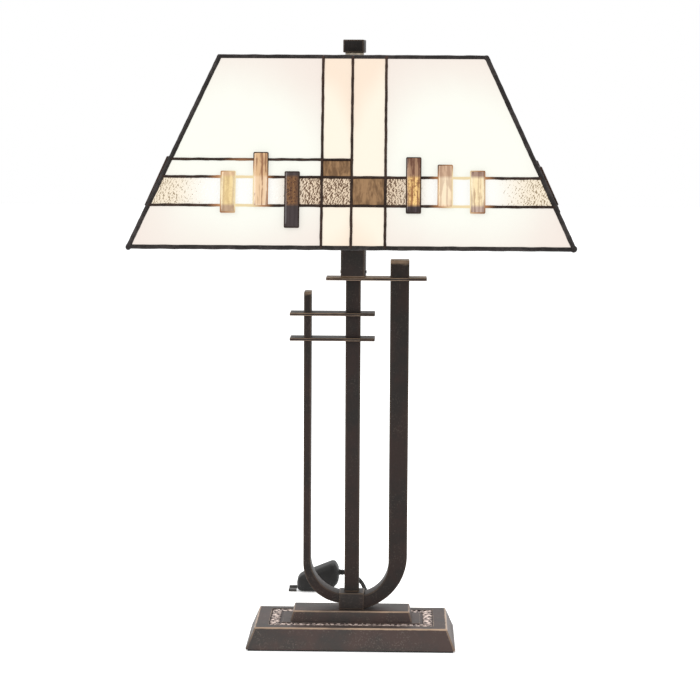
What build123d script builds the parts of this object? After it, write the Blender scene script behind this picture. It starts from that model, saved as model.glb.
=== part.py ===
from build123d import *
import math
import os

# Stained glass table lamp with two side by side bulbs. Millimetres, +Z up, +X to the viewer's right,
# +Y to the back. The origin is the bottom centre of the base, where the felt meets the table.

# Base
BASE_LENGTH = 214.0
BASE_DEPTH = 116.0
PLINTH_HEIGHT = 23.0  # the plinth's top face above the table
PLINTH_LEAN = 8.5  # how far each sloped side comes in from foot to top
PLINTH_WALL = 4.0
FELT = 1.5
FELT_INSET = 2.0
PLATE = 1.5
PLATE_CLEARANCE = 0.3
TIER_LENGTH = 126.0
TIER_DEPTH = 41.0
TIER_HEIGHT = 11.0
TIER_LEAN = 1.0
TIER_END_LEAN = 3.0
FRIEZE_BORDER_X = 14.0  # plain border outside the sunk ornament band, at the ends
FRIEZE_BORDER_Y = 12.0
FRIEZE_WIDTH = 11.0
FRIEZE_DEPTH = 1.2
WEIGHT_HEIGHT = 11.0
WEIGHT_LENGTH = 36.0
WEIGHT_CLEARANCE = 1.5
BOSS_RADIUS = 4.5
SCREW_RADIUS = 1.6
SCREW_HEAD_RADIUS = 3.2
SCREW_DEPTH = 8.0

# Stem
BLOCK_WIDTH = 26.0
BLOCK_DEPTH = 26.0
BLOCK_HEIGHT = 17.5
COLUMN_WIDTH = 15.2
COLUMN_WALL = 1.5
COLUMN_HEIGHT = 328.0  # from the block's top to the neck's underside
BAR_THICKNESS = 3.0
BAR_DEPTH = 28.0
UPPER_BAR = (-27.8, 75.2)  # ends of the bar that ties the column and the right arm
LOWER_BARS = (-64.8, 22.4)  # ends of the two bars that tie the column and the left arm
MIDDLE_BAR_DROP = 36.5  # tops of the lower bars under the top of the upper bar
LOWER_BAR_DROP = 62.3
ARM_DEPTH = 24.0
RIGHT_ARM_RISE = 17.7  # right arm's top over the upper bar
LEFT_ARM_DROP = 15.0  # left arm's top under the upper bar
# An arm's two edges: distance of the straight edge from the axis, radius of its bend, and height of
# the bend's centre over the block's foot.
RIGHT_ARM = {"outer": (57.3, 57.3, 57.0), "inner": (38.0, 34.0, 48.0)}
LEFT_ARM = {"outer": (50.3, 42.7, 49.0), "inner": (42.8, 38.0, 53.7)}
NECK_WIDTH = 24.6
NECK_HEIGHT = 35.5
NECK_POCKET = 12.0  # how far the column goes up into the neck
NECK_TURN = -3.0  # the neck block sits a little turned on the column
SET_SCREW_RADIUS = 1.5
SET_SCREW_HEIGHT = 5.0
SET_SCREW_PROUD = 1.2
SLOT_CLEARANCE = 0.1
ROD_RADIUS = 5.0
ROD_BORE = 3.5
ROD_CLEARANCE = 0.2
ROD_NUT_WIDTH = 14.0
ROD_NUT_HEIGHT = 3.0
ROD_WASHER_RADIUS = 9.0
ROD_WASHER_HEIGHT = 1.2
WIRE_RADIUS = 1.8
RUNNING_CLEARANCE = 0.05

# Light fittings
BULB_AXIS_RISE = 57.0  # bulb axis over the neck's top
CLUSTER_WIDTH = 18.0
CLUSTER_DEPTH = 24.0
CLUSTER_HEIGHT = 28.0
CLUSTER_CAVITY = 13.0
ROD_GRIP = 6.0  # how far a rod goes into the cluster
HOLDER_GAP = 3.0
HOLDER_RADIUS = 19.5
HOLDER_LENGTH = 42.0
HOLDER_WALL = 1.3
HOLDER_CONE = 4.5  # length of the cone behind the shell
CONE_RADIUS = 11.0
INSERT_WALL = 4.0
INSERT_DEPTH = 21.0
INSERT_RECESS = 4.0  # the insert's rim behind the shell's rim
CAP_RADIUS = 13.2
CAP_LENGTH = 25.0
CAP_WALL = 0.8
CAP_CLEARANCE = 0.4
BULB_RADIUS = 30.0
BULB_CENTRE = 53.0  # from the cap's rim to the middle of the round part
BULB_WALL = 1.0
KNOB_SHAFT = 2.5
KNOB_SHAFT_INSIDE = 7.0
KNOB_RADIUS = 6.0
KNOB_LENGTH = 11.0
KNOB_DROP = 27.0  # from the bulb axis down to the knob's upper face
KNOB_BACK = 8.5  # from the rear of the shell to the knob's axis

# Shade
SHADE_DROP = 56.0  # lower edge of the shade under the bulb axis
SHADE_HEIGHT = 188.5
SHADE_LENGTH = 438.0
SHADE_DEPTH = 260.0
SHADE_TOP_LENGTH = 264.5
CAME_DEPTH = 4.4
CAME_WIDTH = 2.6
GLASS = 2.8
RIM_HEIGHT = 4.0
CORNER_WIDTH = 4.0
OVERLAY_WIDTH = 14.3
OVERLAY_THICKNESS = 3.0
SPIDER_WIDTH = 12.0
SPIDER_THICKNESS = 3.0
SPIDER_RING = 14.0
SPIDER_DROP = 0.5  # top of the spider under the shade's upper edge
SPIDER_CLEARANCE = 0.3
SEAT_RADIUS = 9.0
SEAT_HEIGHT = 3.0
FINIAL_WASHER_RADIUS = 9.5
FINIAL_WASHER_HEIGHT = 3.5
FINIAL_WIDTH = 21.0
FINIAL_HEIGHT = 13.0
FINIAL_BORE = 9.0
FINIAL_TURN = -6.0
THREAD_END = 1.0  # rod's end short of the finial's blind bore

# Lead lines of a long panel and a short one. Columns are distances from the panel's middle, rows are
# heights over the shade's lower edge: the short row runs from one side edge to the middle column only.
COLUMNS_LONG = (-29.0, 0.0, 33.0)
COLUMNS_SHORT = (-17.0, 0.0, 19.0)
ROW_SHORT = 86.3
ROW_UPPER = 69.4
ROW_LOWER = 42.0
# Overlaid glass bars: middle, lower end and upper end.
OVERLAYS_LONG = (
    (-120.2, 34.7, 74.3),
    (-88.5, 41.0, 92.5),
    (-57.8, 20.6, 74.1),
    (60.4, 34.9, 88.3),
    (91.1, 40.7, 81.3),
    (122.6, 35.3, 75.7),
)
OVERLAYS_SHORT = (
    (-89.0, 42.0, 79.0),
    (-60.0, 33.0, 84.0),
    (58.0, 28.0, 72.0),
    (88.0, 39.0, 87.0),
)

# Mains cord and plug
CORD = 4.5
BOOT_X = -38.0
BOOT_Z = 7.5
BOOT_FLANGE_RADIUS = 5.5
BOOT_FLANGE = 2.5
BOOT_ROOT_RADIUS = 4.2
BOOT_TIP_RADIUS = 2.9
BOOT_LENGTH = 22.0
COIL_CENTRE = (5.6, 98.0)
COIL_OUTER = 38.25
COIL_INNER = 15.75
COIL_HEIGHT = 9.0
# Routes of the cord's centre line, from the boot's tip to the coil and from the coil to the plug.
LEAD_ROUTE = (
    (-38.0, 79.5, 7.5),
    (-38.3, 91.0, 5.9),
    (-35.2, 102.5, 2.9),
    (-28.0, 111.5, 2.25),
)
TAIL_ROUTE = (
    (-20.0, 123.5, 6.6),
    (-9.0, 134.6, 5.4),
    (0.8, 146.6, 2.6),
    (8.6, 163.0, 2.25),
    (13.4, 181.5, 2.25),
    (13.8, 201.0, 2.25),
    (11.2, 219.0, 3.4),
    (5.4, 230.6, 12.6),
    (-7.6, 235.6, 20.6),
)
PLUG_END = (-19.0, 236.0, 20.9)
PLUG_DEPTH = 34.0
PLUG_EDGE = 2.5
# Side outline of the plug's body, from its cord end at x = 0, with the radius of each corner.
PLUG_OUTLINE = (
    (-49.0, 0.0, 3.5),
    (-49.0, 16.5, 6.5),
    (-9.0, 33.5, 5.0),
    (0.0, 28.5, 4.0),
    (0.0, 8.5, 9.0),
    (-17.0, 0.0, 4.0),
)
PIN_LENGTH = 9.0
PIN_WIDTH = 6.0
PIN_THICKNESS = 2.4
PIN_SPACING = 18.0
PIN_HEIGHT = 1.6
RELIEF_ROOT = 3.4
RELIEF_TIP = 2.7

# Heights worked out from the sizes above
TIER_BASE = PLINTH_HEIGHT
BLOCK_FOOT = TIER_BASE + TIER_HEIGHT
BLOCK_TOP = BLOCK_FOOT + BLOCK_HEIGHT
NECK_FOOT = BLOCK_TOP + COLUMN_HEIGHT
NECK_TOP = NECK_FOOT + NECK_HEIGHT
BULB_AXIS = NECK_TOP + BULB_AXIS_RISE
CLUSTER_FOOT = BULB_AXIS - CLUSTER_HEIGHT / 2
CLUSTER_TOP = BULB_AXIS + CLUSTER_HEIGHT / 2
SHADE_FOOT = BULB_AXIS - SHADE_DROP
SHADE_TOP = SHADE_FOOT + SHADE_HEIGHT
SHADE_TOP_DEPTH = SHADE_TOP_LENGTH * SHADE_DEPTH / SHADE_LENGTH
SPIDER_TOP = SHADE_TOP - SPIDER_DROP
SPIDER_FOOT = SPIDER_TOP - SPIDER_THICKNESS
FINIAL_FOOT = SPIDER_TOP + FINIAL_WASHER_HEIGHT
PLATE_TOP = FELT + PLATE
CAVITY_TOP = PLINTH_HEIGHT - PLINTH_WALL
ROD_END = CAVITY_TOP - ROD_WASHER_HEIGHT - ROD_NUT_HEIGHT - 1.0
HOLDER_REAR = CLUSTER_WIDTH / 2 + HOLDER_GAP
HOLDER_RIM = HOLDER_REAR + HOLDER_LENGTH
INSERT_RIM = HOLDER_RIM - INSERT_RECESS
CAP_BOTTOM = INSERT_RIM - INSERT_DEPTH + 0.5
CAP_RIM = CAP_BOTTOM + CAP_LENGTH


def block(x0, x1, y0, y1, z0, z1):
    """Box between two corners."""
    middle = Pos((x0 + x1) / 2, (y0 + y1) / 2, (z0 + z1) / 2)
    return middle * Box(x1 - x0, y1 - y0, z1 - z0)


def upright(radius, z0, z1, x=0.0, y=0.0):
    """Cylinder along Z between two heights."""
    return Pos(x, y, (z0 + z1) / 2) * Cylinder(radius, z1 - z0)


def frustum(length0, depth0, z0, length1, depth1, z1):
    """Solid with a rectangle at each end and four sloped sides."""
    ends = [Pos(0, 0, z0) * Rectangle(length0, depth0), Pos(0, 0, z1) * Rectangle(length1, depth1)]
    return loft(ends, ruled=True)


def cone_x(r0, r1, x0, x1, z):
    """Cone or cylinder along X between two places, on the bulb axis' plane."""
    ring = [Plane((x, 0, z), x_dir=(0, 1, 0), z_dir=(1, 0, 0)) * Circle(r) for x, r in ((x0, r0), (x1, r1))]
    return loft(ring, ruled=True)


def plinth_half(z, size, inner=0.0):
    """Half of the plinth's length or depth at a height, less a wall."""
    share = (z - FELT) / (PLINTH_HEIGHT - FELT)
    return size / 2 - PLINTH_LEAN * share - inner


# ---- Base ----
def plinth_wall_across():
    """The plinth's wall measured level, which is thicker than square to the sloped side."""
    return PLINTH_WALL / math.cos(math.atan2(PLINTH_LEAN, PLINTH_HEIGHT - FELT))


def cavity():
    """Hollow under the plinth."""
    wall = plinth_wall_across()
    low, high = FELT, CAVITY_TOP
    return frustum(
        2 * plinth_half(low, BASE_LENGTH, wall),
        2 * plinth_half(low, BASE_DEPTH, wall),
        low,
        2 * plinth_half(high, BASE_LENGTH, wall),
        2 * plinth_half(high, BASE_DEPTH, wall),
        high,
    )


def boss_places():
    """Middle of each screw boss, in the hollow's four corners."""
    wall = plinth_wall_across() + BOSS_RADIUS
    x = plinth_half(CAVITY_TOP, BASE_LENGTH, wall)
    y = plinth_half(CAVITY_TOP, BASE_DEPTH, wall)
    return [(sx * x, sy * y) for sx in (-1, 1) for sy in (-1, 1)]


def base_casting():
    """Sloped plinth, hollow from below, with a sunk band for the ornament in its top."""
    top_length, top_depth = BASE_LENGTH - 2 * PLINTH_LEAN, BASE_DEPTH - 2 * PLINTH_LEAN
    body = frustum(BASE_LENGTH, BASE_DEPTH, FELT, top_length, top_depth, PLINTH_HEIGHT)
    body -= cavity()
    for x, y in boss_places():
        body += upright(BOSS_RADIUS, PLATE_TOP, CAVITY_TOP + 1, x, y)
        body -= upright(SCREW_RADIUS, FELT, PLATE_TOP + SCREW_DEPTH, x, y)
    outer_x, outer_y = top_length / 2 - FRIEZE_BORDER_X, top_depth / 2 - FRIEZE_BORDER_Y
    sunk, above = PLINTH_HEIGHT - FRIEZE_DEPTH, PLINTH_HEIGHT + 1
    band = block(-outer_x, outer_x, -outer_y, outer_y, sunk, above)
    inner_x, inner_y = outer_x - FRIEZE_WIDTH, outer_y - FRIEZE_WIDTH
    band -= block(-inner_x, inner_x, -inner_y, inner_y, sunk, above)
    body -= band
    body -= upright(ROD_RADIUS + ROD_CLEARANCE, CAVITY_TOP - 1, PLINTH_HEIGHT + 1)
    hole = Pos(BOOT_X, BASE_DEPTH / 2, BOOT_Z) * Rot(90, 0, 0) * Cylinder(BOOT_ROOT_RADIUS, 6 * PLINTH_WALL)
    return body - hole


def upper_plinth():
    """Block that stands on the plinth under the stem."""
    top_length, top_depth = TIER_LENGTH - 2 * TIER_END_LEAN, TIER_DEPTH - 2 * TIER_LEAN
    body = frustum(TIER_LENGTH, TIER_DEPTH, TIER_BASE, top_length, top_depth, BLOCK_FOOT)
    return body - upright(ROD_RADIUS + ROD_CLEARANCE, TIER_BASE - 1, BLOCK_FOOT + 1)


def base_weights():
    """Two iron blocks that keep the lamp from tipping, either side of the middle."""
    high = PLATE_TOP + WEIGHT_HEIGHT
    wall = plinth_wall_across() + 2 * BOSS_RADIUS + WEIGHT_CLEARANCE
    outer = plinth_half(CAVITY_TOP, BASE_LENGTH, wall)
    deep = plinth_half(high, BASE_DEPTH, plinth_wall_across() + WEIGHT_CLEARANCE)
    right = block(outer - WEIGHT_LENGTH, outer, -deep, deep, PLATE_TOP, high)
    return [right, mirror(right, about=Plane.YZ)]


def bottom_plate():
    """Steel plate that closes the hollow, with countersunk holes."""
    inner = plinth_wall_across() + PLATE_CLEARANCE
    x, y = plinth_half(PLATE_TOP, BASE_LENGTH, inner), plinth_half(PLATE_TOP, BASE_DEPTH, inner)
    plate = block(-x, x, -y, y, FELT, PLATE_TOP)
    for px, py in boss_places():
        plate -= screw(px, py, SLOT_CLEARANCE)
    return plate


def screw(x, y, spare=0.0):
    """Countersunk screw from below, or the hole for it."""
    shank = upright(SCREW_RADIUS + spare, FELT, PLATE_TOP + SCREW_DEPTH - 1, x, y)
    head = Pos(x, y, FELT + PLATE / 2) * Cone(SCREW_HEAD_RADIUS + spare, SCREW_RADIUS + spare, PLATE)
    return shank + head


def bottom_screws():
    return [screw(x, y) for x, y in boss_places()]


def felt_pad():
    x, y = BASE_LENGTH / 2 - FELT_INSET, BASE_DEPTH / 2 - FELT_INSET
    return block(-x, x, -y, y, 0, FELT)


# ---- Stem ----
def stem_block():
    """Square block that the column and both arms spring from."""
    x, y = BLOCK_WIDTH / 2, BLOCK_DEPTH / 2
    body = block(-x, x, -y, y, BLOCK_FOOT, BLOCK_TOP)
    return body - upright(ROD_RADIUS + ROD_CLEARANCE, BLOCK_FOOT - 1, BLOCK_TOP + 1)


def centre_column():
    """Square tube from the block up into the neck."""
    outer, inner = COLUMN_WIDTH / 2, COLUMN_WIDTH / 2 - COLUMN_WALL
    top = NECK_FOOT + NECK_POCKET
    tube = block(-outer, outer, -outer, outer, BLOCK_TOP, top)
    return tube - block(-inner, inner, -inner, inner, BLOCK_TOP - 1, top + 1)


def arm(side, edges, top):
    """Flat bar bent up beside the column, on the +X or -X side: two straight edges that each run down
    into a quarter circle, cut off where the bar meets the block."""
    outer_x, outer_r, outer_rise = edges["outer"]
    inner_x, inner_r, inner_rise = edges["inner"]
    outline = []
    feet = []
    for x, r, rise in ((outer_x, outer_r, outer_rise), (inner_x, inner_r, inner_rise)):
        z, cx = BLOCK_FOOT + rise, x - r
        half = r * math.sqrt(0.5)
        points = [(side * x, z), (side * (cx + half), z - half), (side * cx, z - r)]
        outline += [Line((side * x, top), points[0]), ThreePointArc(*points)]
        feet.append(points[2])
    outline += [Line((side * outer_x, top), (side * inner_x, top)), Line(*feet)]
    face = Plane.XZ * make_face(outline)
    bar = extrude(face, amount=ARM_DEPTH / 2, both=True)
    stop = BLOCK_WIDTH / 2
    return bar - block(-stop, stop, -ARM_DEPTH, ARM_DEPTH, 0, BLOCK_FOOT + outer_rise)


def right_arm():
    return arm(1, RIGHT_ARM, NECK_FOOT + RIGHT_ARM_RISE)


def left_arm():
    return arm(-1, LEFT_ARM, NECK_FOOT - LEFT_ARM_DROP)


def cross_bar(ends, top, edges, side):
    """Flat tie bar with a slot for the column and one for an arm."""
    y, foot = BAR_DEPTH / 2, top - BAR_THICKNESS
    bar = block(*ends, -y, y, foot, top)
    slot = COLUMN_WIDTH / 2 + SLOT_CLEARANCE
    bar -= block(-slot, slot, -slot, slot, foot - 1, top + 1)
    x0, x1 = sorted((side * (edges["outer"][0] + SLOT_CLEARANCE), side * (edges["inner"][0] - SLOT_CLEARANCE)))
    deep = ARM_DEPTH / 2 + SLOT_CLEARANCE
    return bar - block(x0, x1, -deep, deep, foot - 1, top + 1)


def upper_bar():
    return cross_bar(UPPER_BAR, NECK_FOOT, RIGHT_ARM, 1)


def middle_bar():
    return cross_bar(LOWER_BARS, NECK_FOOT - MIDDLE_BAR_DROP, LEFT_ARM, -1)


def lower_bar():
    return cross_bar(LOWER_BARS, NECK_FOOT - LOWER_BAR_DROP, LEFT_ARM, -1)


def set_screw(side, spare=0.0):
    """Small screw that clamps the neck to the column."""
    x0, x1 = COLUMN_WIDTH / 2 + SLOT_CLEARANCE, NECK_WIDTH / 2 + SET_SCREW_PROUD
    middle = Pos(side * (x0 + x1) / 2, 0, NECK_FOOT + SET_SCREW_HEIGHT)
    return middle * Rot(0, 90, 0) * Cylinder(SET_SCREW_RADIUS + spare, x1 - x0)


def neck_block():
    """Square block on the column's top, with a pocket for the column and a hole for the rod."""
    body = Pos(0, 0, NECK_FOOT + NECK_HEIGHT / 2) * Rot(0, 0, NECK_TURN) * Box(NECK_WIDTH, NECK_WIDTH, NECK_HEIGHT)
    slot = COLUMN_WIDTH / 2 + SLOT_CLEARANCE
    body -= block(-slot, slot, -slot, slot, NECK_FOOT - 1, NECK_FOOT + NECK_POCKET + SLOT_CLEARANCE)
    body -= upright(ROD_RADIUS + ROD_CLEARANCE, NECK_FOOT, NECK_TOP + 1)
    return body - set_screw(1, RUNNING_CLEARANCE) - set_screw(-1, RUNNING_CLEARANCE)


def neck_screws():
    return [set_screw(1), set_screw(-1)]


def stem_rod():
    """Hollow threaded rod that holds the base, the column and the cluster together."""
    top = CLUSTER_FOOT + ROD_GRIP
    return upright(ROD_RADIUS, ROD_END, top) - upright(ROD_BORE, ROD_END - 1, top + 1)


def rod_nuts():
    """Washer and hex nut under the plinth."""
    hole = upright(ROD_RADIUS, ROD_END - 1, CAVITY_TOP + 1)
    washer = upright(ROD_WASHER_RADIUS, CAVITY_TOP - ROD_WASHER_HEIGHT, CAVITY_TOP) - hole
    foot = CAVITY_TOP - ROD_WASHER_HEIGHT - ROD_NUT_HEIGHT
    hexagon = Pos(0, 0, foot) * RegularPolygon(ROD_NUT_WIDTH / 2, 6, major_radius=False)
    return [washer, extrude(hexagon, amount=ROD_NUT_HEIGHT) - hole]


def inner_wires():
    """Captive two-core lead from the boot's inner end, across the base and up the rod."""
    low = PLATE_TOP + WIRE_RADIUS + 0.5
    back = plinth_half(BOOT_Z, BASE_DEPTH, plinth_wall_across() + BOOT_FLANGE)
    path = FilletPolyline(
        (BOOT_X, back, BOOT_Z),
        (BOOT_X, back - 14, low + 0.4),
        (BOOT_X * 0.5, 9, low),
        (0, 0, low),
        (0, 0, BULB_AXIS - 6),
        radius=[9.0, 9.0, 4.0],
    )
    return sweep(Plane(origin=path @ 0, z_dir=path % 0) * Circle(WIRE_RADIUS), path=path)


# ---- Light fittings ----
def cluster_body():
    """Hollow block between the two lampholders."""
    x, y = CLUSTER_WIDTH / 2, CLUSTER_DEPTH / 2
    body = block(-x, x, -y, y, CLUSTER_FOOT, CLUSTER_TOP)
    half = CLUSTER_CAVITY / 2
    body -= block(-half, half, -half, half, BULB_AXIS - half, BULB_AXIS + half)
    body -= upright(ROD_RADIUS, CLUSTER_FOOT - 1, BULB_AXIS)
    body -= upright(ROD_RADIUS, BULB_AXIS, CLUSTER_TOP + 1)
    return body - cone_x(ROD_RADIUS, ROD_RADIUS, -x - 1, x + 1, BULB_AXIS)


def holder_shell():
    """Right lampholder: a metal cup with a nipple behind it that screws into the cluster."""
    rear, shoulder, rim, z = HOLDER_REAR, HOLDER_REAR + HOLDER_CONE, HOLDER_RIM, BULB_AXIS
    shell = cone_x(CONE_RADIUS, HOLDER_RADIUS, rear, shoulder, z)
    shell += cone_x(HOLDER_RADIUS, HOLDER_RADIUS, shoulder, rim, z)
    inside = HOLDER_RADIUS - HOLDER_WALL
    shell -= cone_x(CONE_RADIUS - HOLDER_WALL, inside, rear + HOLDER_WALL, shoulder + HOLDER_WALL, z)
    shell -= cone_x(inside, inside, shoulder + HOLDER_WALL, rim + 1, z)
    nipple = cone_x(ROD_RADIUS, ROD_RADIUS, CLUSTER_WIDTH / 2 - 4, rear + HOLDER_WALL, z)
    shell += nipple
    shell -= cone_x(ROD_BORE, ROD_BORE, 0, rear + 2 * HOLDER_WALL, z)
    shaft = upright(KNOB_SHAFT + RUNNING_CLEARANCE, z - HOLDER_RADIUS - 2, z - HOLDER_RADIUS / 2, rear + KNOB_BACK)
    return shell - shaft


def lampholder_shells():
    right = holder_shell()
    return [right, mirror(right, about=Plane.YZ)]


def holder_insert():
    """Right insulating cup that the bulb's cap screws into."""
    outer, bore = HOLDER_RADIUS - HOLDER_WALL, CAP_RADIUS + CAP_CLEARANCE
    floor = INSERT_RIM - INSERT_DEPTH
    cup = cone_x(outer, outer, floor - INSERT_WALL, INSERT_RIM, BULB_AXIS)
    return cup - cone_x(bore, bore, floor, INSERT_RIM + 1, BULB_AXIS)


def lampholder_inserts():
    right = holder_insert()
    return [right, mirror(right, about=Plane.YZ)]


def switch_knob(side):
    """Turn knob of one lampholder's rotary switch, under the shell."""
    x = side * (HOLDER_REAR + KNOB_BACK)
    top = BULB_AXIS - HOLDER_RADIUS + KNOB_SHAFT_INSIDE
    face = BULB_AXIS - KNOB_DROP
    return upright(KNOB_SHAFT, face, top, x) + upright(KNOB_RADIUS, face - KNOB_LENGTH, face, x)


def bulb_cap(side):
    """Screw cap, closed at its contact end."""
    cap = cone_x(CAP_RADIUS, CAP_RADIUS, side * CAP_BOTTOM, side * CAP_RIM, BULB_AXIS)
    hollow = CAP_RADIUS - CAP_WALL
    return cap - cone_x(hollow, hollow, side * (CAP_BOTTOM + CAP_WALL), side * (CAP_RIM + 1), BULB_AXIS)


def bulb_profile(neck, radius):
    """Half outline of a bulb on its axis: a neck that runs in line into the round part."""
    dx = BULB_CENTRE
    reach = math.hypot(dx, neck)
    turn = math.atan2(neck, -dx) - math.acos(radius / reach)
    touch = (dx + radius * math.cos(turn), radius * math.sin(turn))
    crown = (dx + radius * math.cos(turn / 2), radius * math.sin(turn / 2))
    edges = [
        Line((0, 0), (0, neck)),
        Line((0, neck), touch),
        ThreePointArc(touch, crown, (dx + radius, 0)),
        Line((dx + radius, 0), (0, 0)),
    ]
    return make_face(edges)


def bulb_glass(side):
    """Thin glass bulb, open where the cap holds it."""
    plane = Plane((side * CAP_RIM, 0, BULB_AXIS), x_dir=(side, 0, 0), z_dir=(0, -side, 0))
    axis = Axis((0, 0, BULB_AXIS), (1, 0, 0))
    outer = revolve(plane * bulb_profile(CAP_RADIUS, BULB_RADIUS), axis)
    inner = revolve(plane * bulb_profile(CAP_RADIUS - BULB_WALL, BULB_RADIUS - BULB_WALL), axis)
    return outer - inner


def riser_rod():
    """Rod from the cluster to the finial, with a collar that the shade's spider rests on."""
    top = FINIAL_FOOT + FINIAL_BORE - THREAD_END
    rod = upright(ROD_RADIUS, CLUSTER_TOP - ROD_GRIP, top)
    return rod + upright(SEAT_RADIUS, SPIDER_FOOT - SEAT_HEIGHT, SPIDER_FOOT)


def finial_washer():
    hole = upright(ROD_RADIUS + SPIDER_CLEARANCE, SPIDER_TOP - 1, FINIAL_FOOT + 1)
    return upright(FINIAL_WASHER_RADIUS, SPIDER_TOP, FINIAL_FOOT) - hole


def finial():
    """Square nut on the rod's end that holds the shade down."""
    middle = Pos(0, 0, FINIAL_FOOT + FINIAL_HEIGHT / 2)
    nut = middle * Rot(0, 0, FINIAL_TURN) * Box(FINIAL_WIDTH, FINIAL_WIDTH, FINIAL_HEIGHT)
    return nut - upright(ROD_RADIUS + RUNNING_CLEARANCE, FINIAL_FOOT - 1, FINIAL_FOOT + FINIAL_BORE)


# ---- Shade ----
def shade_half(z, size, top_size):
    """Half of the shade's length or depth at a height."""
    share = (z - SHADE_FOOT) / SHADE_HEIGHT
    return size / 2 + (top_size - size) / 2 * share


def shade_solid(z0, z1, inset_x=0.0, inset_y=0.0):
    """The shade's outer form between two heights, with its sloped sides moved in."""
    sizes = []
    for z in (z0, z1):
        sizes += [
            2 * (shade_half(z, SHADE_LENGTH, SHADE_TOP_LENGTH) - inset_x),
            2 * (shade_half(z, SHADE_DEPTH, SHADE_TOP_DEPTH) - inset_y),
            z,
        ]
    return frustum(*sizes)


class Panel:
    """One side of the shade, in its own plane: u along the panel, v up its slope and n outward."""

    def __init__(self, turn, long_side):
        across, other = (SHADE_LENGTH, SHADE_DEPTH) if long_side else (SHADE_DEPTH, SHADE_LENGTH)
        top_across, top_other = (
            (SHADE_TOP_LENGTH, SHADE_TOP_DEPTH) if long_side else (SHADE_TOP_DEPTH, SHADE_TOP_LENGTH)
        )
        lean = (other - top_other) / 2
        self.slant = math.hypot(SHADE_HEIGHT, lean)
        self.cos = SHADE_HEIGHT / self.slant
        self.low, self.high = across / 2, top_across / 2
        self.columns = COLUMNS_LONG if long_side else COLUMNS_SHORT
        self.overlays = OVERLAYS_LONG if long_side else OVERLAYS_SHORT
        self.short_row_side = -1 if long_side else 1
        normal = (0, -self.cos, lean / self.slant)
        self.plane = Plane((0, -other / 2, SHADE_FOOT), x_dir=(1, 0, 0), z_dir=normal)
        self.turn = turn

    def place(self, shape):
        """From the panel's plane to the lamp's frame."""
        return Rot(0, 0, self.turn) * (self.plane * shape)

    def edge(self, v, margin=0.0):
        """Half width at a place up the slope, less a margin square to the slanted edge."""
        slope = (self.low - self.high) / self.slant
        return self.low - slope * v - margin * math.hypot(1, slope)

    def rise(self, height):
        """Way up the slope for a height over the shade's lower edge."""
        return height / self.cos

    def slab(self, points, n0, n1):
        """Flat polygon in the panel's plane made solid between two depths."""
        face = Pos(0, 0, n0) * Polygon(*points, align=None)
        return extrude(face, amount=n1 - n0)

    def window(self, n0, n1):
        """The opening that the glass and the lead lines fill."""
        v0, v1 = self.rise(RIM_HEIGHT), self.rise(SHADE_HEIGHT - RIM_HEIGHT)
        e0, e1 = self.edge(v0, CORNER_WIDTH), self.edge(v1, CORNER_WIDTH)
        return self.slab([(-e0, v0), (e0, v0), (e1, v1), (-e1, v1)], n0, n1)

    def cells(self):
        """Every glass piece's rectangle, before the window's edge cuts it, by kind of glass."""
        x1, x2, x3 = self.columns
        a, b, c = self.rise(ROW_SHORT), self.rise(ROW_UPPER), self.rise(ROW_LOWER)
        far, top = self.low + 1, self.slant + 1
        outer, near, other, beyond = (-far, x1), (x1, x2), (x2, x3), (x3, far)
        if self.short_row_side > 0:
            outer, near, other, beyond = beyond, other, near, outer
        return {
            "opal": [outer + (a, top), outer + (b, a), outer + (-1, c), beyond + (b, top), beyond + (-1, c)],
            "cream": [near + (a, top), near + (-1, c), other + (b, top), other + (-1, c)],
            "hammered": [outer + (c, b), near + (c, b), beyond + (c, b)],
            "streaky": [near + (b, a), other + (c, b)],
        }

    def glass(self, kind):
        """Glass pieces of one kind, each cut to its cell less half a lead line."""
        n1 = -(CAME_DEPTH - GLASS) / 2
        window = self.window(n1 - GLASS, n1)
        half = CAME_WIDTH / 2
        pieces = []
        for u0, u1, v0, v1 in self.cells()[kind]:
            u0, u1, v0, v1 = u0 + half, u1 - half, v0 + half, v1 - half
            corners = [(u0, v0), (u1, v0), (u1, v1), (u0, v1)]
            pieces.append(self.place(self.slab(corners, n1 - GLASS, n1) & window))
        return pieces

    def came(self):
        """Soldered lead lines between the glass pieces, as one network."""
        x1, x2, x3 = self.columns
        a, b, c = self.rise(ROW_SHORT), self.rise(ROW_UPPER), self.rise(ROW_LOWER)
        half, far, top = CAME_WIDTH / 2, self.low + 1, self.slant + 1
        lines = [(x - half, x + half, -1, top) for x in (x1, x2, x3)]
        lines += [(-far, far, v - half, v + half) for v in (b, c)]
        ends = (x2, far) if self.short_row_side > 0 else (-far, x2)
        lines.append(ends + (a - half, a + half))
        window = self.window(-CAME_DEPTH, 0)
        net = None
        for u0, u1, v0, v1 in lines:
            bar = self.slab([(u0, v0), (u1, v0), (u1, v1), (u0, v1)], -CAME_DEPTH, 0) & window
            net = bar if net is None else net + bar
        return self.place(net)

    def overlay_bars(self):
        """Glass bars soldered on the outside, across the lead lines."""
        half = OVERLAY_WIDTH / 2
        bars = []
        for u, low, high in self.overlays:
            v0, v1 = self.rise(low), self.rise(high)
            corners = [(u - half, v0), (u + half, v0), (u + half, v1), (u - half, v1)]
            bars.append(self.place(self.slab(corners, 0, OVERLAY_THICKNESS)))
        return bars


def shade_frame(panels):
    """Shell of solder and brass that is left round the four windows."""
    long_panel, short_panel = panels["front"], panels["left"]
    inset_y, inset_x = CAME_DEPTH / long_panel.cos, CAME_DEPTH / short_panel.cos
    shell = shade_solid(SHADE_FOOT, SHADE_TOP)
    low, high = SHADE_FOOT - 1, SHADE_TOP + 1
    shell -= shade_solid(low, high, inset_x, inset_y)
    for panel in panels.values():
        shell -= panel.place(panel.window(-CAME_DEPTH - 3, 2))
    return shell


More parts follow.
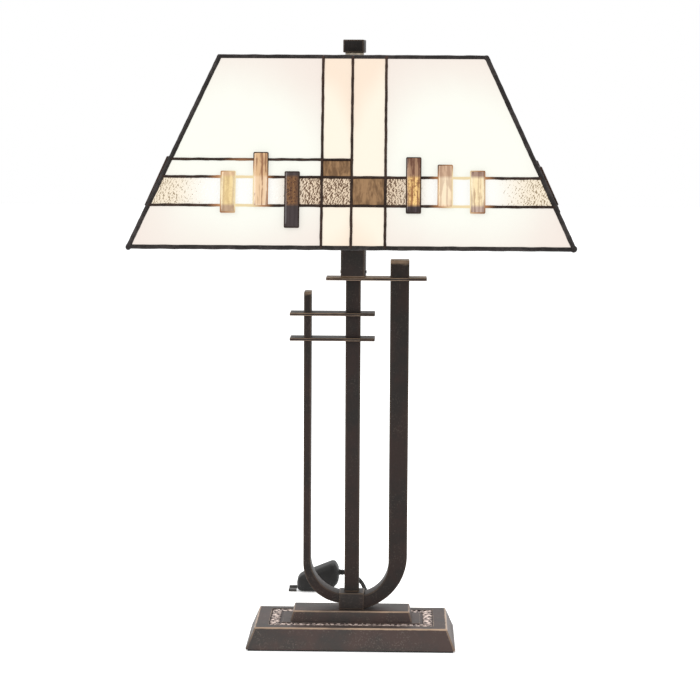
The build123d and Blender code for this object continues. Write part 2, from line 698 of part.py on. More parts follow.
def quarter(index):
    """Wedge round the lamp's axis that holds one side of the shade, cut at the corners."""
    x, y = SHADE_LENGTH, SHADE_DEPTH
    corners = [(x, -y), (x, y), (-x, y), (-x, -y)]
    face = make_face(Polyline((0, 0), corners[index - 1], corners[index], close=True))
    return Pos(0, 0, SHADE_FOOT - 1) * extrude(face, amount=SHADE_HEIGHT + 2)


def upper_rim_foot():
    """Height that the leaning head of every window stays under, measured at the shade's inside."""
    lean = (SHADE_LENGTH - SHADE_TOP_LENGTH) / 2
    return SHADE_TOP - RIM_HEIGHT - CAME_DEPTH * lean / math.hypot(SHADE_HEIGHT, lean)


def rim(frame, z0, z1):
    """One rim of the shade as four mitred strips."""
    band = frame & block(-SHADE_LENGTH, SHADE_LENGTH, -SHADE_DEPTH, SHADE_DEPTH, z0, z1)
    return [band & quarter(index) for index in range(4)]


def corner_cames(frame):
    """The four slanted corner strips between the rims."""
    z0, z1 = SHADE_FOOT + RIM_HEIGHT, upper_rim_foot()
    return frame & block(-SHADE_LENGTH, SHADE_LENGTH, -SHADE_DEPTH, SHADE_DEPTH, z0, z1)


def spider(panels):
    """Cross of flat bars in the shade's top, with a ring round the riser rod."""
    half, far = SPIDER_WIDTH / 2, SHADE_LENGTH
    cross = block(-far, far, -half, half, SPIDER_FOOT, SPIDER_TOP)
    cross += block(-half, half, -far, far, SPIDER_FOOT, SPIDER_TOP)
    cross += upright(SPIDER_RING, SPIDER_FOOT, SPIDER_TOP)
    inset_y = CAME_DEPTH / panels["front"].cos
    inset_x = CAME_DEPTH / panels["left"].cos
    cross &= shade_solid(SHADE_FOOT - 1, SHADE_TOP + 1, inset_x, inset_y)
    return cross - upright(ROD_RADIUS + SPIDER_CLEARANCE, SPIDER_FOOT - 1, SPIDER_TOP + 1)


# ---- Mains cord and plug ----
def cord_boot():
    """Tapered strain relief in the plinth's back wall, with a flange on each side of the wall."""
    wall = plinth_half(BOOT_Z - BOOT_FLANGE_RADIUS, BASE_DEPTH)
    inside = plinth_half(BOOT_Z, BASE_DEPTH, plinth_wall_across() + BOOT_FLANGE)
    tip = LEAD_ROUTE[0][1]
    stations = [
        (inside, BOOT_ROOT_RADIUS - 0.2),
        (wall + 0.2, BOOT_ROOT_RADIUS - 0.2),
        (wall + 0.2, BOOT_FLANGE_RADIUS),
        (wall + BOOT_FLANGE, BOOT_FLANGE_RADIUS),
        (wall + BOOT_FLANGE, BOOT_ROOT_RADIUS),
        (tip, BOOT_TIP_RADIUS),
    ]
    outline = [(0, stations[0][0])] + [(r, y) for y, r in stations] + [(0, tip)]
    plane = Plane((BOOT_X, 0, BOOT_Z), x_dir=(1, 0, 0), z_dir=(0, 0, 1))
    face = plane * make_face(Polyline(*outline, close=True))
    return revolve(face, Axis((BOOT_X, 0, BOOT_Z), (0, 1, 0)))


def route_radii(route):
    """Radius of the arc at each inner point: 0.45 of the shorter run over the tangent of half the turn."""
    points = [Vector(*point) for point in route]
    radii = []
    for before, here, after in zip(points, points[1:], points[2:]):
        first, second = here - before, after - here
        half_turn = math.radians(first.get_angle(second)) / 2
        radii.append(0.45 * min(first.length, second.length) / math.tan(half_turn))
    return radii


def cord_tube(name, route):
    """Cord along its route: straight runs joined by tangent arcs."""
    radii = route_radii(route)
    path = FilletPolyline(*route, radius=radii)
    tube = sweep(Plane(origin=path @ 0, z_dir=path % 0) * Circle(CORD / 2), path=path)
    section = math.pi * CORD**2 / 4
    print(name, "arc radii", [round(radius, 1) for radius in radii], "length", round(path.length, 1))
    print(name, "volume over section times length", round(tube.volume / (section * path.length), 4))
    return tube


def cord_coil():
    """Outer form of the tied coil behind the base."""
    x, y = COIL_CENTRE
    ring = upright(COIL_OUTER, 0, COIL_HEIGHT, x, y) - upright(COIL_INNER, -1, COIL_HEIGHT + 1, x, y)
    return fillet(ring.edges(), CORD / 2 - 0.25)


def plug_body():
    """Moulded plug lying on the table with its cord end up, and the short relief its cord leaves by."""
    x, y, z = PLUG_END
    corners = [(px, pz) for px, pz, _ in PLUG_OUTLINE]
    radii = [radius for _, _, radius in PLUG_OUTLINE]
    outline = FilletPolyline(*corners, radius=radii, close=True)
    face = Plane((x, y, 0), x_dir=(1, 0, 0), z_dir=(0, -1, 0)) * make_face(outline)
    body = extrude(face, amount=PLUG_DEPTH / 2, both=True)
    cheeks = body.faces().sort_by(Axis.Y)
    body = chamfer(cheeks[0].edges() + cheeks[-1].edges(), PLUG_EDGE)
    end = Vector(*TAIL_ROUTE[-1])
    start = Vector(x, y, z)
    direction = end - start
    deep = start - direction.normalized() * 3
    rings = [
        Plane(deep, z_dir=direction) * Circle(RELIEF_ROOT),
        Plane(end, z_dir=direction) * Circle(RELIEF_TIP),
    ]
    return body + loft(rings, ruled=True)


def plug_pins():
    """Flat pins at the plug's lower end."""
    x, y, _ = PLUG_END
    left = x + PLUG_OUTLINE[0][0]
    pins = []
    for side in (-1, 1):
        middle = y + side * PIN_SPACING / 2
        y0, y1 = middle - PIN_WIDTH / 2, middle + PIN_WIDTH / 2
        z0, z1 = PIN_HEIGHT - PIN_THICKNESS / 2, PIN_HEIGHT + PIN_THICKNESS / 2
        pins.append(block(left - PIN_LENGTH, left, y0, y1, z0, z1))
    return pins


def save(name, shape):
    """Write one node: a solid, or a group of separate solids."""
    solids = []
    for piece in shape if isinstance(shape, list) else [shape]:
        solids += piece.solids()
    node = solids[0] if len(solids) == 1 else Compound(children=solids)
    export_step(node, os.path.join("parts", name + ".step"))


def main():
    os.makedirs("parts", exist_ok=True)
    nodes = {
        "base_casting": base_casting(),
        "upper_plinth": upper_plinth(),
        "base_weights": base_weights(),
        "bottom_plate": bottom_plate(),
        "bottom_screws": bottom_screws(),
        "felt_pad": felt_pad(),
        "stem_block": stem_block(),
        "centre_column": centre_column(),
        "right_arm": right_arm(),
        "left_arm": left_arm(),
        "upper_bar": upper_bar(),
        "middle_bar": middle_bar(),
        "lower_bar": lower_bar(),
        "neck_block": neck_block(),
        "neck_screws": neck_screws(),
        "stem_rod": stem_rod(),
        "rod_nuts": rod_nuts(),
        "inner_wires": inner_wires(),
        "cluster_body": cluster_body(),
        "lampholder_shells": lampholder_shells(),
        "lampholder_inserts": lampholder_inserts(),
        "riser_rod": riser_rod(),
        "finial_washer": finial_washer(),
        "finial": finial(),
        "cord_boot": cord_boot(),
        "cord_lead": cord_tube("cord_lead", LEAD_ROUTE),
        "cord_coil": cord_coil(),
        "cord_tail": cord_tube("cord_tail", TAIL_ROUTE),
        "plug_body": plug_body(),
        "plug_pins": plug_pins(),
    }
    for name, side in (("left", -1), ("right", 1)):
        nodes["switch_knob_" + name] = switch_knob(side)
        nodes["bulb_cap_" + name] = bulb_cap(side)
        nodes["bulb_glass_" + name] = bulb_glass(side)
    panels = {
        "front": Panel(0, True),
        "back": Panel(180, True),
        "left": Panel(-90, False),
        "right": Panel(90, False),
    }
    frame = shade_frame(panels)
    nodes["bottom_rim"] = rim(frame, SHADE_FOOT, SHADE_FOOT + RIM_HEIGHT)
    nodes["top_rim"] = rim(frame, upper_rim_foot(), SHADE_TOP)
    nodes["corner_cames"] = corner_cames(frame)
    nodes["spider"] = spider(panels)
    for group, members in (("front", ["front"]), ("back", ["back"]), ("sides", ["left", "right"])):
        for kind in ("opal", "cream", "hammered", "streaky"):
            nodes[f"{kind}_glass_{group}"] = sum((panels[m].glass(kind) for m in members), [])
        nodes[f"lead_lines_{group}"] = [panels[m].came() for m in members]
        nodes[f"overlay_bars_{group}"] = sum((panels[m].overlay_bars() for m in members), [])
    for name, shape in nodes.items():
        save(name, shape)


main()
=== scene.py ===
"""Looks of a leaded glass table lamp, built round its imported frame. Metres, +Z up, +Y to the back."""

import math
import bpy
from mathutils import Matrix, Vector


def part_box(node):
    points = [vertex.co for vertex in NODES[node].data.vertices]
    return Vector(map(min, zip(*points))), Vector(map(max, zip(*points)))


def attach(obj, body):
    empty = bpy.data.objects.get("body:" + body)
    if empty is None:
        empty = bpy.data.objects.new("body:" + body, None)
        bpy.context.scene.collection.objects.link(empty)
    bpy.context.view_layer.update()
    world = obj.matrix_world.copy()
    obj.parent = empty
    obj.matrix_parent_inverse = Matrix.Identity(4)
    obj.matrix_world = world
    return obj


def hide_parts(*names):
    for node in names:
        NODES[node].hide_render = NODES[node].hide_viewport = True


bl_info = {
    "name": "Stained Glass Table Lamp",
    "version": (1, 0, 0),
    "blender": (4, 5, 0),
    "location": "3D View > Sidebar > Lamp",
    "description": "Builds the surfaces, materials and stage of a leaded glass table lamp",
    "category": "Add Mesh",
}

import bmesh
import bpy
import numpy as np
from bpy.props import FloatProperty, FloatVectorProperty, IntProperty, PointerProperty
from mathutils import Vector

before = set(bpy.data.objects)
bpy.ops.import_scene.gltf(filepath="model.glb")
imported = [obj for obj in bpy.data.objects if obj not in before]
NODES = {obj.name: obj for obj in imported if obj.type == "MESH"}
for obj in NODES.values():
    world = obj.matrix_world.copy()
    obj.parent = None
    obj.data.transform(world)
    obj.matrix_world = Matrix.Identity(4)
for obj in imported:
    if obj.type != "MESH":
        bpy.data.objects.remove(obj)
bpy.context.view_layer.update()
MM = 0.001


def low(node):
    """Lowest corner of a frame node, in millimetres."""
    return np.array(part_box(node)[0]) / MM


def high(node):
    """Highest corner of a frame node, in millimetres."""
    return np.array(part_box(node)[1]) / MM


BULB_AXIS = float(low("bulb_glass_right")[2] + high("bulb_glass_right")[2]) / 2
BULB_REACH = float(high("bulb_glass_right")[0]) - 30.0
SHADE_FOOT = float(low("bottom_rim")[2])
SHADE_TOP = float(high("top_rim")[2])


# ---------------------------------------------------------------- settings
def length(name, description, default):
    """A length in millimetres that the user can change."""
    return FloatProperty(name=name, description=description + ", in millimetres", default=default, min=0.0)


def colour(name, description, default):
    """A colour that the user can change, given as it looks on screen."""
    return FloatVectorProperty(
        name=name, description=description, default=default, min=0.0, max=1.0, size=3, subtype="COLOR_GAMMA"
    )


class LampMetal(bpy.types.PropertyGroup):
    """Sizes and colours of the patinated base and stem."""

    edge_round: length("Edge rounding", "Radius of the stem's edges", 0.9)
    # Width of the pale edge band: wear of the patina with a painted highlight along the edge.
    wear_and_sheen_width: length("Wear width", "How far the patina has rubbed off beside an edge", 0.8)
    relief: length("Ornament relief", "Height of the leaves over the band's floor", 1.25)
    leaf_pitch: length("Leaf pitch", "Length of one wave of the ornament's vine", 19.0)
    patina: colour("Patina", "Dark brown of the metal", (0.225, 0.205, 0.195))
    patina_red: colour("Patina, reddish", "Warmer patches in the patina", (0.27, 0.215, 0.20))
    speckle: colour("Speckle", "Paler specks on the casting", (0.42, 0.38, 0.345))
    # Pale edge colour: wear of the patina with a painted highlight along the edges.
    rubbed: colour("Rubbed edge", "Metal showing where the patina has worn", (0.66, 0.56, 0.47))
    leaf: colour("Leaf highlight", "Bright metal on top of the ornament", (0.92, 0.84, 0.80))
    recess: colour("Recess", "Dark floor of the ornament band", (0.21, 0.16, 0.155))


class LampShade(bpy.types.PropertyGroup):
    """Sizes and colours of the leaded glass shade."""

    bead_width: length("Lead line width", "Width of a soldered lead line", 2.9)
    bead_rise: length("Lead line rise", "How far a lead line stands out of the glass", 0.8)
    rim_width: length("Rim width", "Width of the strips along the shade's edges", 4.2)
    pebble: length("Pebble size", "Spacing of the bumps of the hammered glass", 1.5)
    pebble_height: length("Pebble height", "Height of the bumps of the hammered glass", 0.4)
    solder: colour("Solder", "Patina on the lead lines", (0.19, 0.138, 0.115))
    rim: colour("Rim solder", "Patina on the shade's edges", (0.165, 0.15, 0.145))
    # The glass colours below are painted glow: the glass as it looks lit from behind by the bulbs, brighter
    # next to a bulb.
    opal: colour("Opal glass", "Milky glass away from the bulbs", (0.945, 0.90, 0.865))
    opal_near: colour("Opal glass, near", "Milky glass next to a bulb", (0.975, 0.978, 0.94))
    cream: colour("Cream glass", "Cream glass of the middle columns", (0.972, 0.895, 0.815))
    cream_near: colour("Cream glass, near", "Cream glass nearer to a bulb", (0.99, 0.95, 0.88))
    hammered: colour("Hammered glass", "Lit ground of the hammered glass", (0.98, 0.925, 0.83))
    # The fleck colours are painted shade on the side of each bump turned away from the bulb.
    fleck: colour("Fleck", "Dark side of the bumps near the middle", (0.40, 0.28, 0.18))
    fleck_pale: colour("Pale fleck", "Dark side of the bumps at the ends", (0.62, 0.54, 0.42))
    streak: colour("Streaky glass", "Ground of the streaky glass", (0.63, 0.485, 0.335))
    streak_dark: colour("Dark streak", "Streaks in the streaky glass", (0.44, 0.32, 0.20))


class LampCord(bpy.types.PropertyGroup):
    """Sizes of the mains cord."""

    diameter: length("Diameter", "Thickness of the cord", 4.5)
    coil_radius: length("Coil radius", "Outer radius of the coil's centre line", 36.0)
    coil_inner: length("Inner coil radius", "Inner radius of the coil's centre line", 18.0)
    turn_points: IntProperty(name="Turn points", description="Control points of a turn", default=16, min=12)
    black: colour("Cord black", "Colour of the cord and plug", (0.10, 0.095, 0.092))


class LampStage(bpy.types.PropertyGroup):
    """Camera and light."""

    lens: FloatProperty(name="Lens", description="Focal length, in millimetres", default=118.1, min=1.0)
    world: FloatProperty(name="World light", description="Strength of the even light", default=1.0, min=0.0)
    key: FloatProperty(name="Key light", description="Power of the large soft light", default=26.0, min=0.0)


# ---------------------------------------------------------------- shader maths
class Socket:
    """One output of a node. Its arithmetic adds Math nodes to the same tree."""

    def __init__(self, tree, link):
        self.tree = tree
        self.link = link

    def math(self, operation, *values):
        return self.tree.node("ShaderNodeMath", {"operation": operation}, dict(enumerate(values)))

    def __add__(self, other):
        return self.math("ADD", self, other)

    def __radd__(self, other):
        return self.math("ADD", other, self)

    def __sub__(self, other):
        return self.math("SUBTRACT", self, other)

    def __rsub__(self, other):
        return self.math("SUBTRACT", other, self)

    def __mul__(self, other):
        return self.math("MULTIPLY", self, other)

    def __rmul__(self, other):
        return self.math("MULTIPLY", other, self)

    def __truediv__(self, other):
        return self.math("DIVIDE", self, other)

    def __rtruediv__(self, other):
        return self.math("DIVIDE", other, self)

    def __pow__(self, other):
        return self.math("POWER", self, other)

    def __abs__(self):
        return self.math("ABSOLUTE", self)

    def least(self, other):
        return self.math("MINIMUM", self, other)

    def most(self, other):
        return self.math("MAXIMUM", self, other)

    def rise(self, start, end):
        """0 before start and 1 after end, smooth between; start may be the greater."""
        settings = {"interpolation_type": "SMOOTHSTEP"}
        if start > end:
            return 1 - self.rise(end, start)
        return self.tree.node("ShaderNodeMapRange", settings, {0: self, 1: start, 2: end, 3: 0.0, 4: 1.0})


def linear(value):
    """Linear light from a value as it looks on screen."""
    return value / 12.92 if value <= 0.04045 else ((value + 0.055) / 1.055) ** 2.4


class Tree:
    """Node tree of one material with a single Principled shader."""

    def __init__(self, name):
        self.material = bpy.data.materials.new(name)
        self.material.use_nodes = True
        self.nodes = self.material.node_tree.nodes
        self.links = self.material.node_tree.links
        self.nodes.clear()
        self.place = self.node("ShaderNodeTexCoord", {}, {}, "Object")

    def node(self, kind, settings, values, output=0):
        """Adds a node: its settings first, then the value or link of each socket."""
        node = self.nodes.new(kind)
        for key, value in settings.items():
            setattr(node, key, value)
        for key, value in values.items():
            socket = node.inputs[key]
            if isinstance(value, Socket):
                self.links.new(value.link, socket)
            elif isinstance(value, (tuple, list)) and len(value) == 3 and socket.type == "RGBA":
                socket.default_value = (*[linear(v) for v in value], 1.0)
            else:
                socket.default_value = value
        return Socket(self, node.outputs[output])

    def mapped(self, scale, source=None):
        """Object coordinates, or another vector, scaled."""
        values = {"Vector": source or self.place, "Scale": scale}
        return self.node("ShaderNodeMapping", {}, values)

    def noise(self, scale, detail=3.0, roughness=0.55, source=None, distortion=0.0):
        values = {"Vector": source or self.place, "Scale": scale, "Detail": detail}
        values.update({"Roughness": roughness, "Distortion": distortion})
        return self.node("ShaderNodeTexNoise", {}, values)

    def parts(self, vector):
        """X, Y and Z of a vector."""
        first = self.node("ShaderNodeSeparateXYZ", {}, {0: vector})
        outputs = first.link.node.outputs
        return [Socket(self, outputs[index]) for index in range(3)]

    def field(self, name, output="Vector"):
        """A field stored on the mesh."""
        return self.node("ShaderNodeAttribute", {"attribute_name": name}, {}, output)

    def blend(self, factor, first, second):
        """Colour that goes from the first to the second as factor goes from 0 to 1."""
        return self.node("ShaderNodeMix", {"data_type": "RGBA"}, {0: factor, 6: first, 7: second}, 2)

    def tint(self, first, second, factor=1.0):
        """One colour multiplied by another."""
        settings = {"data_type": "RGBA", "blend_type": "MULTIPLY"}
        return self.node("ShaderNodeMix", settings, {0: factor, 6: first, 7: second}, 2)

    def bump(self, height, distance, strength=1.0):
        values = {"Height": height, "Distance": distance, "Strength": strength}
        return self.node("ShaderNodeBump", {}, values)

    def finish(self, **values):
        """Adds the shader and the output. Keys are socket names with _ for a space."""
        named = {key.replace("_", " "): value for key, value in values.items()}
        shader = self.node("ShaderNodeBsdfPrincipled", {}, named)
        self.node_out(shader)
        return self.material

    def node_out(self, shader):
        out = self.nodes.new("ShaderNodeOutputMaterial")
        self.links.new(shader.link, out.inputs["Surface"])


# ---------------------------------------------------------------- surfaces
class Shape:
    """Closed grids of points, in millimetres, gathered into one mesh. In each grid the columns go
    round and close on themselves. The rows end in flat caps, or close as well when loop is true."""

    def __init__(self):
        self.points = []
        self.faces = []
        self.fields = {}
        self.count = 0

    def add(self, points, loop=False, **fields):
        rows, columns = points.shape[:2]
        i, j = np.meshgrid(np.arange(rows if loop else rows - 1), np.arange(columns), indexing="ij")
        down, across = (i + 1) % rows, (j + 1) % columns
        corners = [i * columns + j, i * columns + across, down * columns + across, down * columns + j]
        quads = np.stack(corners, -1).reshape(-1, 4) + self.count
        self.faces += quads.tolist()
        if not loop:
            self.faces.append((np.arange(columns) + self.count).tolist()[::-1])
            self.faces.append((np.arange(columns) + self.count + (rows - 1) * columns).tolist())
        self.points.append(points.reshape(-1, 3) * MM)
        for name, values in fields.items():
            done = self.fields.setdefault(name, [])
            done.append(np.reshape(values, (rows * columns, -1)))
        self.count += rows * columns
        return self

    def make(self, name, material, body, slot, replaces=(), crease=35.0):
        """Puts the grids into a mesh, joins what meets and turns the faces outwards."""
        mesh = bpy.data.meshes.new(name)
        mesh.from_pydata(np.concatenate(self.points), [], self.faces)
        for field, values in self.fields.items():
            values = np.concatenate(values)
            kind, key = ("FLOAT", "value") if values.shape[1] == 1 else ("FLOAT_VECTOR", "vector")
            mesh.attributes.new(field, kind, "POINT").data.foreach_set(key, values.ravel())
        work = bmesh.new()
        work.from_mesh(mesh)
        bmesh.ops.remove_doubles(work, verts=work.verts, dist=2e-6)
        bmesh.ops.recalc_face_normals(work, faces=work.faces)
        work.to_mesh(mesh)
        work.free()
        mesh.shade_smooth()
        mesh.set_sharp_from_angle(angle=math.radians(crease))
        mesh.materials.append(material)
        piece = bpy.data.objects.new(name, mesh)
        bpy.context.scene.collection.objects.link(piece)
        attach(piece, body)
        if replaces:
            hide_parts(*replaces)
        return piece


def rectangle(half_x, half_y, radius, side_x=2, side_y=2, corner=4):
    """Rounded rectangle: a quarter circle at each corner, joined by straight sides in even steps. The
    sizes may be columns of values, one for each row. Also gives the distance from the nearest corner."""
    half_x, half_y, radius = np.broadcast_arrays(*np.atleast_1d(half_x, half_y, radius))
    quarter = np.linspace(0, np.pi / 2, corner)
    signs = ((1, 1), (-1, 1), (-1, -1), (1, -1))
    arcs = []
    for index, (sx, sy) in enumerate(signs):
        angle = quarter + index * np.pi / 2
        x = sx * (half_x - radius)[:, None] + radius[:, None] * np.cos(angle)
        y = sy * (half_y - radius)[:, None] + radius[:, None] * np.sin(angle)
        arcs.append(np.stack([x, y], -1))
    outline, distance = [], []
    for index, arc in enumerate(arcs):
        following = arcs[(index + 1) % 4]
        share = np.linspace(0, 1, (side_x if index % 2 == 0 else side_y) + 1)[1:-1]
        start, end = arc[:, -1:], following[:, :1]
        side = start + (end - start) * share[None, :, None]
        run = np.linalg.norm(end - start, axis=-1)
        outline += [arc, side]
        distance += [np.zeros(arc.shape[:2]), run * np.minimum(share, 1 - share)[None, :]]
    return np.concatenate(outline, 1), np.concatenate(distance, 1)


def stacked(half_x, half_y, z, radius=1.0, rim=None, centre=(0.0, 0.0), turn=0.0, flat_from=None, **steps):
    """Rounded rectangles stacked in Z: each row has its own half sizes and height. The field gives the
    distance from an upright edge, up to the row flat_from, and from a level edge."""
    outline, corner = rectangle(half_x, half_y, radius, **steps)
    z = np.broadcast_to(np.asarray(z, float)[:, None], outline.shape[:2])
    c, s = math.cos(math.radians(turn)), math.sin(math.radians(turn))
    x, y = outline[..., 0], outline[..., 1]
    points = np.stack([centre[0] + c * x - s * y, centre[1] + s * x + c * y, z], -1)
    rim = np.full(len(points), 99.0) if rim is None else np.asarray(rim, float)
    rows = np.broadcast_to(rim[:, None], corner.shape)
    if flat_from is not None:
        corner[flat_from:] = 99.0
    return points, np.stack([corner, rows, np.zeros_like(corner)], -1)


def rounded_box(shape, x, y, z, radius, turn=0.0, steps=4, worn_and_lit_top=False):
    """Box between pairs of limits, its edges rounded: the rows run up a quarter circle, straight up the
    sides and back in over another quarter circle. Its whole top may take the pale edge colour: a painted
    highlight of light from above, with some wear."""
    centre = ((x[0] + x[1]) / 2, (y[0] + y[1]) / 2)
    half_x, half_y = (x[1] - x[0]) / 2, (y[1] - y[0]) / 2
    quarter = np.linspace(0, np.pi / 2, steps)
    inset = radius * (1 - np.sin(quarter))
    low_z = z[0] + radius * (1 - np.cos(quarter))
    high_z = z[1] - radius * (1 - np.cos(quarter))
    middle = (z[0] + z[1]) / 2
    inner = min(half_x, half_y) * 0.5
    rows_in = np.concatenate([[inner], inset, [0.0], inset[::-1], [inner]])
    rows_z = np.concatenate([z[:1], low_z, [middle], high_z[::-1], z[1:]])
    # A lit top takes the pale edge colour all over: painted light from above, with some wear.
    lid = 0.3 if worn_and_lit_top else inner
    rim = np.concatenate([[inner], np.zeros(steps), [(z[1] - z[0]) / 2], np.zeros(steps), [lid]])
    corner = np.maximum(radius - rows_in, 0.02)
    last = len(rows_in) - 1
    points, field = stacked(half_x - rows_in, half_y - rows_in, rows_z, corner, rim, centre, turn, last)
    field[0, :, 0] = 99.0
    return shape.add(points, rim=field)


def lathe(profile, axis="Z", centre=(0.0, 0.0, 0.0), steps=48):
    """Profile of (radius, place along the axis) turned about the axis: x = r cos a, y = r sin a."""
    profile = np.asarray(profile, float)
    angle = np.linspace(0, 2 * np.pi, steps, endpoint=False)
    r, along = profile[:, :1], np.repeat(profile[:, 1:2], steps, 1)
    a, b = r * np.cos(angle), r * np.sin(angle)
    order = {"Z": (a, b, along), "X": (along, a, b), "Y": (b, along, a)}[axis]
    return np.stack(order, -1) + np.asarray(centre)


def wobble(place, size, pitch, seed):
    """Gentle waver: three sines of the place along a line, with lengths near the pitch."""
    dice = np.random.default_rng(seed)
    total = np.zeros_like(place, dtype=float)
    for step in range(3):
        wave = pitch * (0.6 + 0.8 * dice.random()) / (1 + step)
        total = total + np.sin(2 * np.pi * (place / wave + dice.random())) / (1 + step)
    return size * total / 1.8


def pebbles(u, v, size, seed, stretch=1.7, turn=40.0):
    """Bumps on a jittered lattice, on a plane turned and stretched so that they are longer one way. The
    height falls with the square of the distance to the nearest bump's middle. Also gives how far the
    place lies along u from that middle."""
    c, s = math.cos(math.radians(turn)), math.sin(math.radians(turn))
    a, b = (c * u + s * v) / (size * stretch), (c * v - s * u) / size
    jitter = np.random.default_rng(seed).random((64, 64, 2))
    cell_a, cell_b = np.floor(a).astype(int), np.floor(b).astype(int)
    nearest, lean = np.full(np.shape(a), 9.0), np.zeros(np.shape(a))
    for i in (-1, 0, 1):
        for j in (-1, 0, 1):
            shift = jitter[(cell_a + i) % 64, (cell_b + j) % 64]
            da, db = cell_a + i + shift[..., 0] - a, cell_b + j + shift[..., 1] - b
            squares = da * da + db * db
            lean = np.where(squares < nearest, s * db - c * da, lean)
            nearest = np.minimum(nearest, squares)
    return np.clip(1 - 1.5 * nearest, 0, 1), lean


def vine(s, q, pitch, width):
    """Ornament: a wavy stem along s with a leaf in each bend and a bud at each crest. Each leaf is an
    ellipse whose height falls to its rim, with a groove along its middle."""
    wave = 2 * np.pi * s / pitch
    crest = 0.26 * width * np.sin(wave)
    height = 0.55 * np.exp(-(((q - crest) / 0.75) ** 2))
    for flip in (1, -1):
        local = (s / pitch + (0.25 if flip > 0 else 0.75)) % 1.0 - 0.5
        for tilt, shift in ((0.9, -0.17), (-0.9, 0.13)):
            x, y = (local - shift) * pitch, q + flip * 0.16 * width
            c, si = math.cos(tilt * flip), math.sin(tilt * flip)
            along, across = c * x + si * y, c * y - si * x
            leaf = np.clip(1 - (along / (0.23 * pitch)) ** 2 - (across / (0.10 * pitch)) ** 2, 0, 1)
            groove = 1 - 0.45 * np.exp(-((across / 0.28) ** 2))
            height = np.maximum(height, np.sqrt(leaf) * groove)
    bud = 0.0
    for share, flip in ((0.25, 1), (0.75, -1)):
        squares = (s % pitch - share * pitch) ** 2 + (q - flip * 0.36 * width) ** 2
        bud = np.maximum(bud, np.clip(1 - squares / 1.2, 0, 1))
    return np.maximum(height, 0.9 * np.sqrt(bud))


class Panel:
    """One side of the shade in its own plane: u to the right, v up the slope, n outward, in
    millimetres. A long side has six raised bars, a short one four."""

    # Keyed by whether the side is long. COLUMNS are places across the panel, ROWS are heights over its
    # foot, BARS hold (place across, low height, high height), and HALF the half widths at foot and top.
    COLUMNS = {True: (-29.0, 0.0, 33.0), False: (-17.0, 0.0, 19.0)}
    ROWS = (86.3, 69.4, 42.0)
    BARS = {
        True: (
            (-120.2, 34.7, 74.3),
            (-88.5, 41.0, 92.5),
            (-57.8, 20.6, 74.1),
            (60.4, 34.9, 88.3),
            (91.1, 40.7, 81.3),
            (122.6, 35.3, 75.7),
        ),
        False: ((-89.0, 42.0, 79.0), (-60.0, 33.0, 84.0), (58.0, 28.0, 72.0), (88.0, 39.0, 87.0)),
    }
    HALF = {True: (219.0, 132.25), False: (130.0, 78.505)}

    def __init__(self, turn, long_side):
        self.low, self.high = self.HALF[long_side]
        across_low, across_high = self.HALF[not long_side]
        lean, height = across_low - across_high, SHADE_TOP - SHADE_FOOT
        self.slant = math.hypot(height, lean)
        self.cos, sin = height / self.slant, lean / self.slant
        c, s = math.cos(math.radians(turn)), math.sin(math.radians(turn))
        spin = np.array([[c, -s, 0], [s, c, 0], [0, 0, 1]])
        self.origin = spin @ np.array([0, -across_low, SHADE_FOOT])
        self.axes = np.stack([spin @ axis for axis in ([1, 0, 0], [0, sin, self.cos], [0, -self.cos, sin])])
        self.columns = self.COLUMNS[long_side]
        self.rows = [rise / self.cos for rise in self.ROWS]
        self.bars = [(u, a / self.cos, b / self.cos) for u, a, b in self.BARS[long_side]]
        self.short_side = -1 if long_side else 1
        self.long_side = long_side

    def place(self, u, v, n):
        """From the panel's plane to the lamp's frame."""
        u, v, n = np.broadcast_arrays(u, v, n)
        return self.origin + np.stack([u, v, n], -1) @ self.axes

    def edge(self, v, margin=0.0):
        """Half width at a place up the slope, less a margin square to the slanted edge."""
        slope = (self.low - self.high) / self.slant
        return self.low - slope * v - margin * math.hypot(1, slope)


PANELS = {
    "front": [Panel(0, True)],
    "back": [Panel(180, True)],
    "sides": [Panel(-90, False), Panel(90, False)],
}


def bead(shape, panel, start, end, width, n_low, n_high, seed, waver=0.12):
    """Soldered strip from one place on the panel to another: a flattened round section carried along
    the line, whose width and height waver a little."""
    start, end = np.array(start, float), np.array(end, float)
    run = np.linalg.norm(end - start)
    rows = max(4, int(run / 3))
    share = np.linspace(0, 1, rows)[:, None]
    along = (end - start) / run
    side = np.array([-along[1], along[0]])
    angle = np.linspace(0, 2 * np.pi, 16, endpoint=False)[None, :]
    place = share * run
    half = width / 2 * (1 + wobble(place, waver, 17.0, seed))
    drift = wobble(place, 0.18, 43.0, seed + 1)
    swell = np.abs(np.cos(angle)) ** 0.72 * np.sign(np.cos(angle))
    lift = np.abs(np.sin(angle)) ** 0.72 * np.sign(np.sin(angle))
    middle, tall = (n_low + n_high) / 2, (n_high - n_low) / 2
    tall = tall * (1 + wobble(place, 0.06, 13.0, seed + 2))
    offset = half * swell + drift
    u = start[0] + along[0] * place + side[0] * offset
    v = start[1] + along[1] * place + side[1] * offset
    return shape.add(panel.place(u, v, middle + tall * lift))


def blob(shape, panel, u, v, radius, n_low, n_high):
    """Drop of solder where lines meet: an ellipsoid flattened square to the glass."""
    polar = np.linspace(0, np.pi, 9)[:, None]
    angle = np.linspace(0, 2 * np.pi, 16, endpoint=False)[None, :]
    middle, tall = (n_low + n_high) / 2, (n_high - n_low) / 2
    around = radius * np.sin(polar)
    return shape.add(
        panel.place(u + around * np.cos(angle), v + around * np.sin(angle), middle + tall * np.cos(polar))
    )


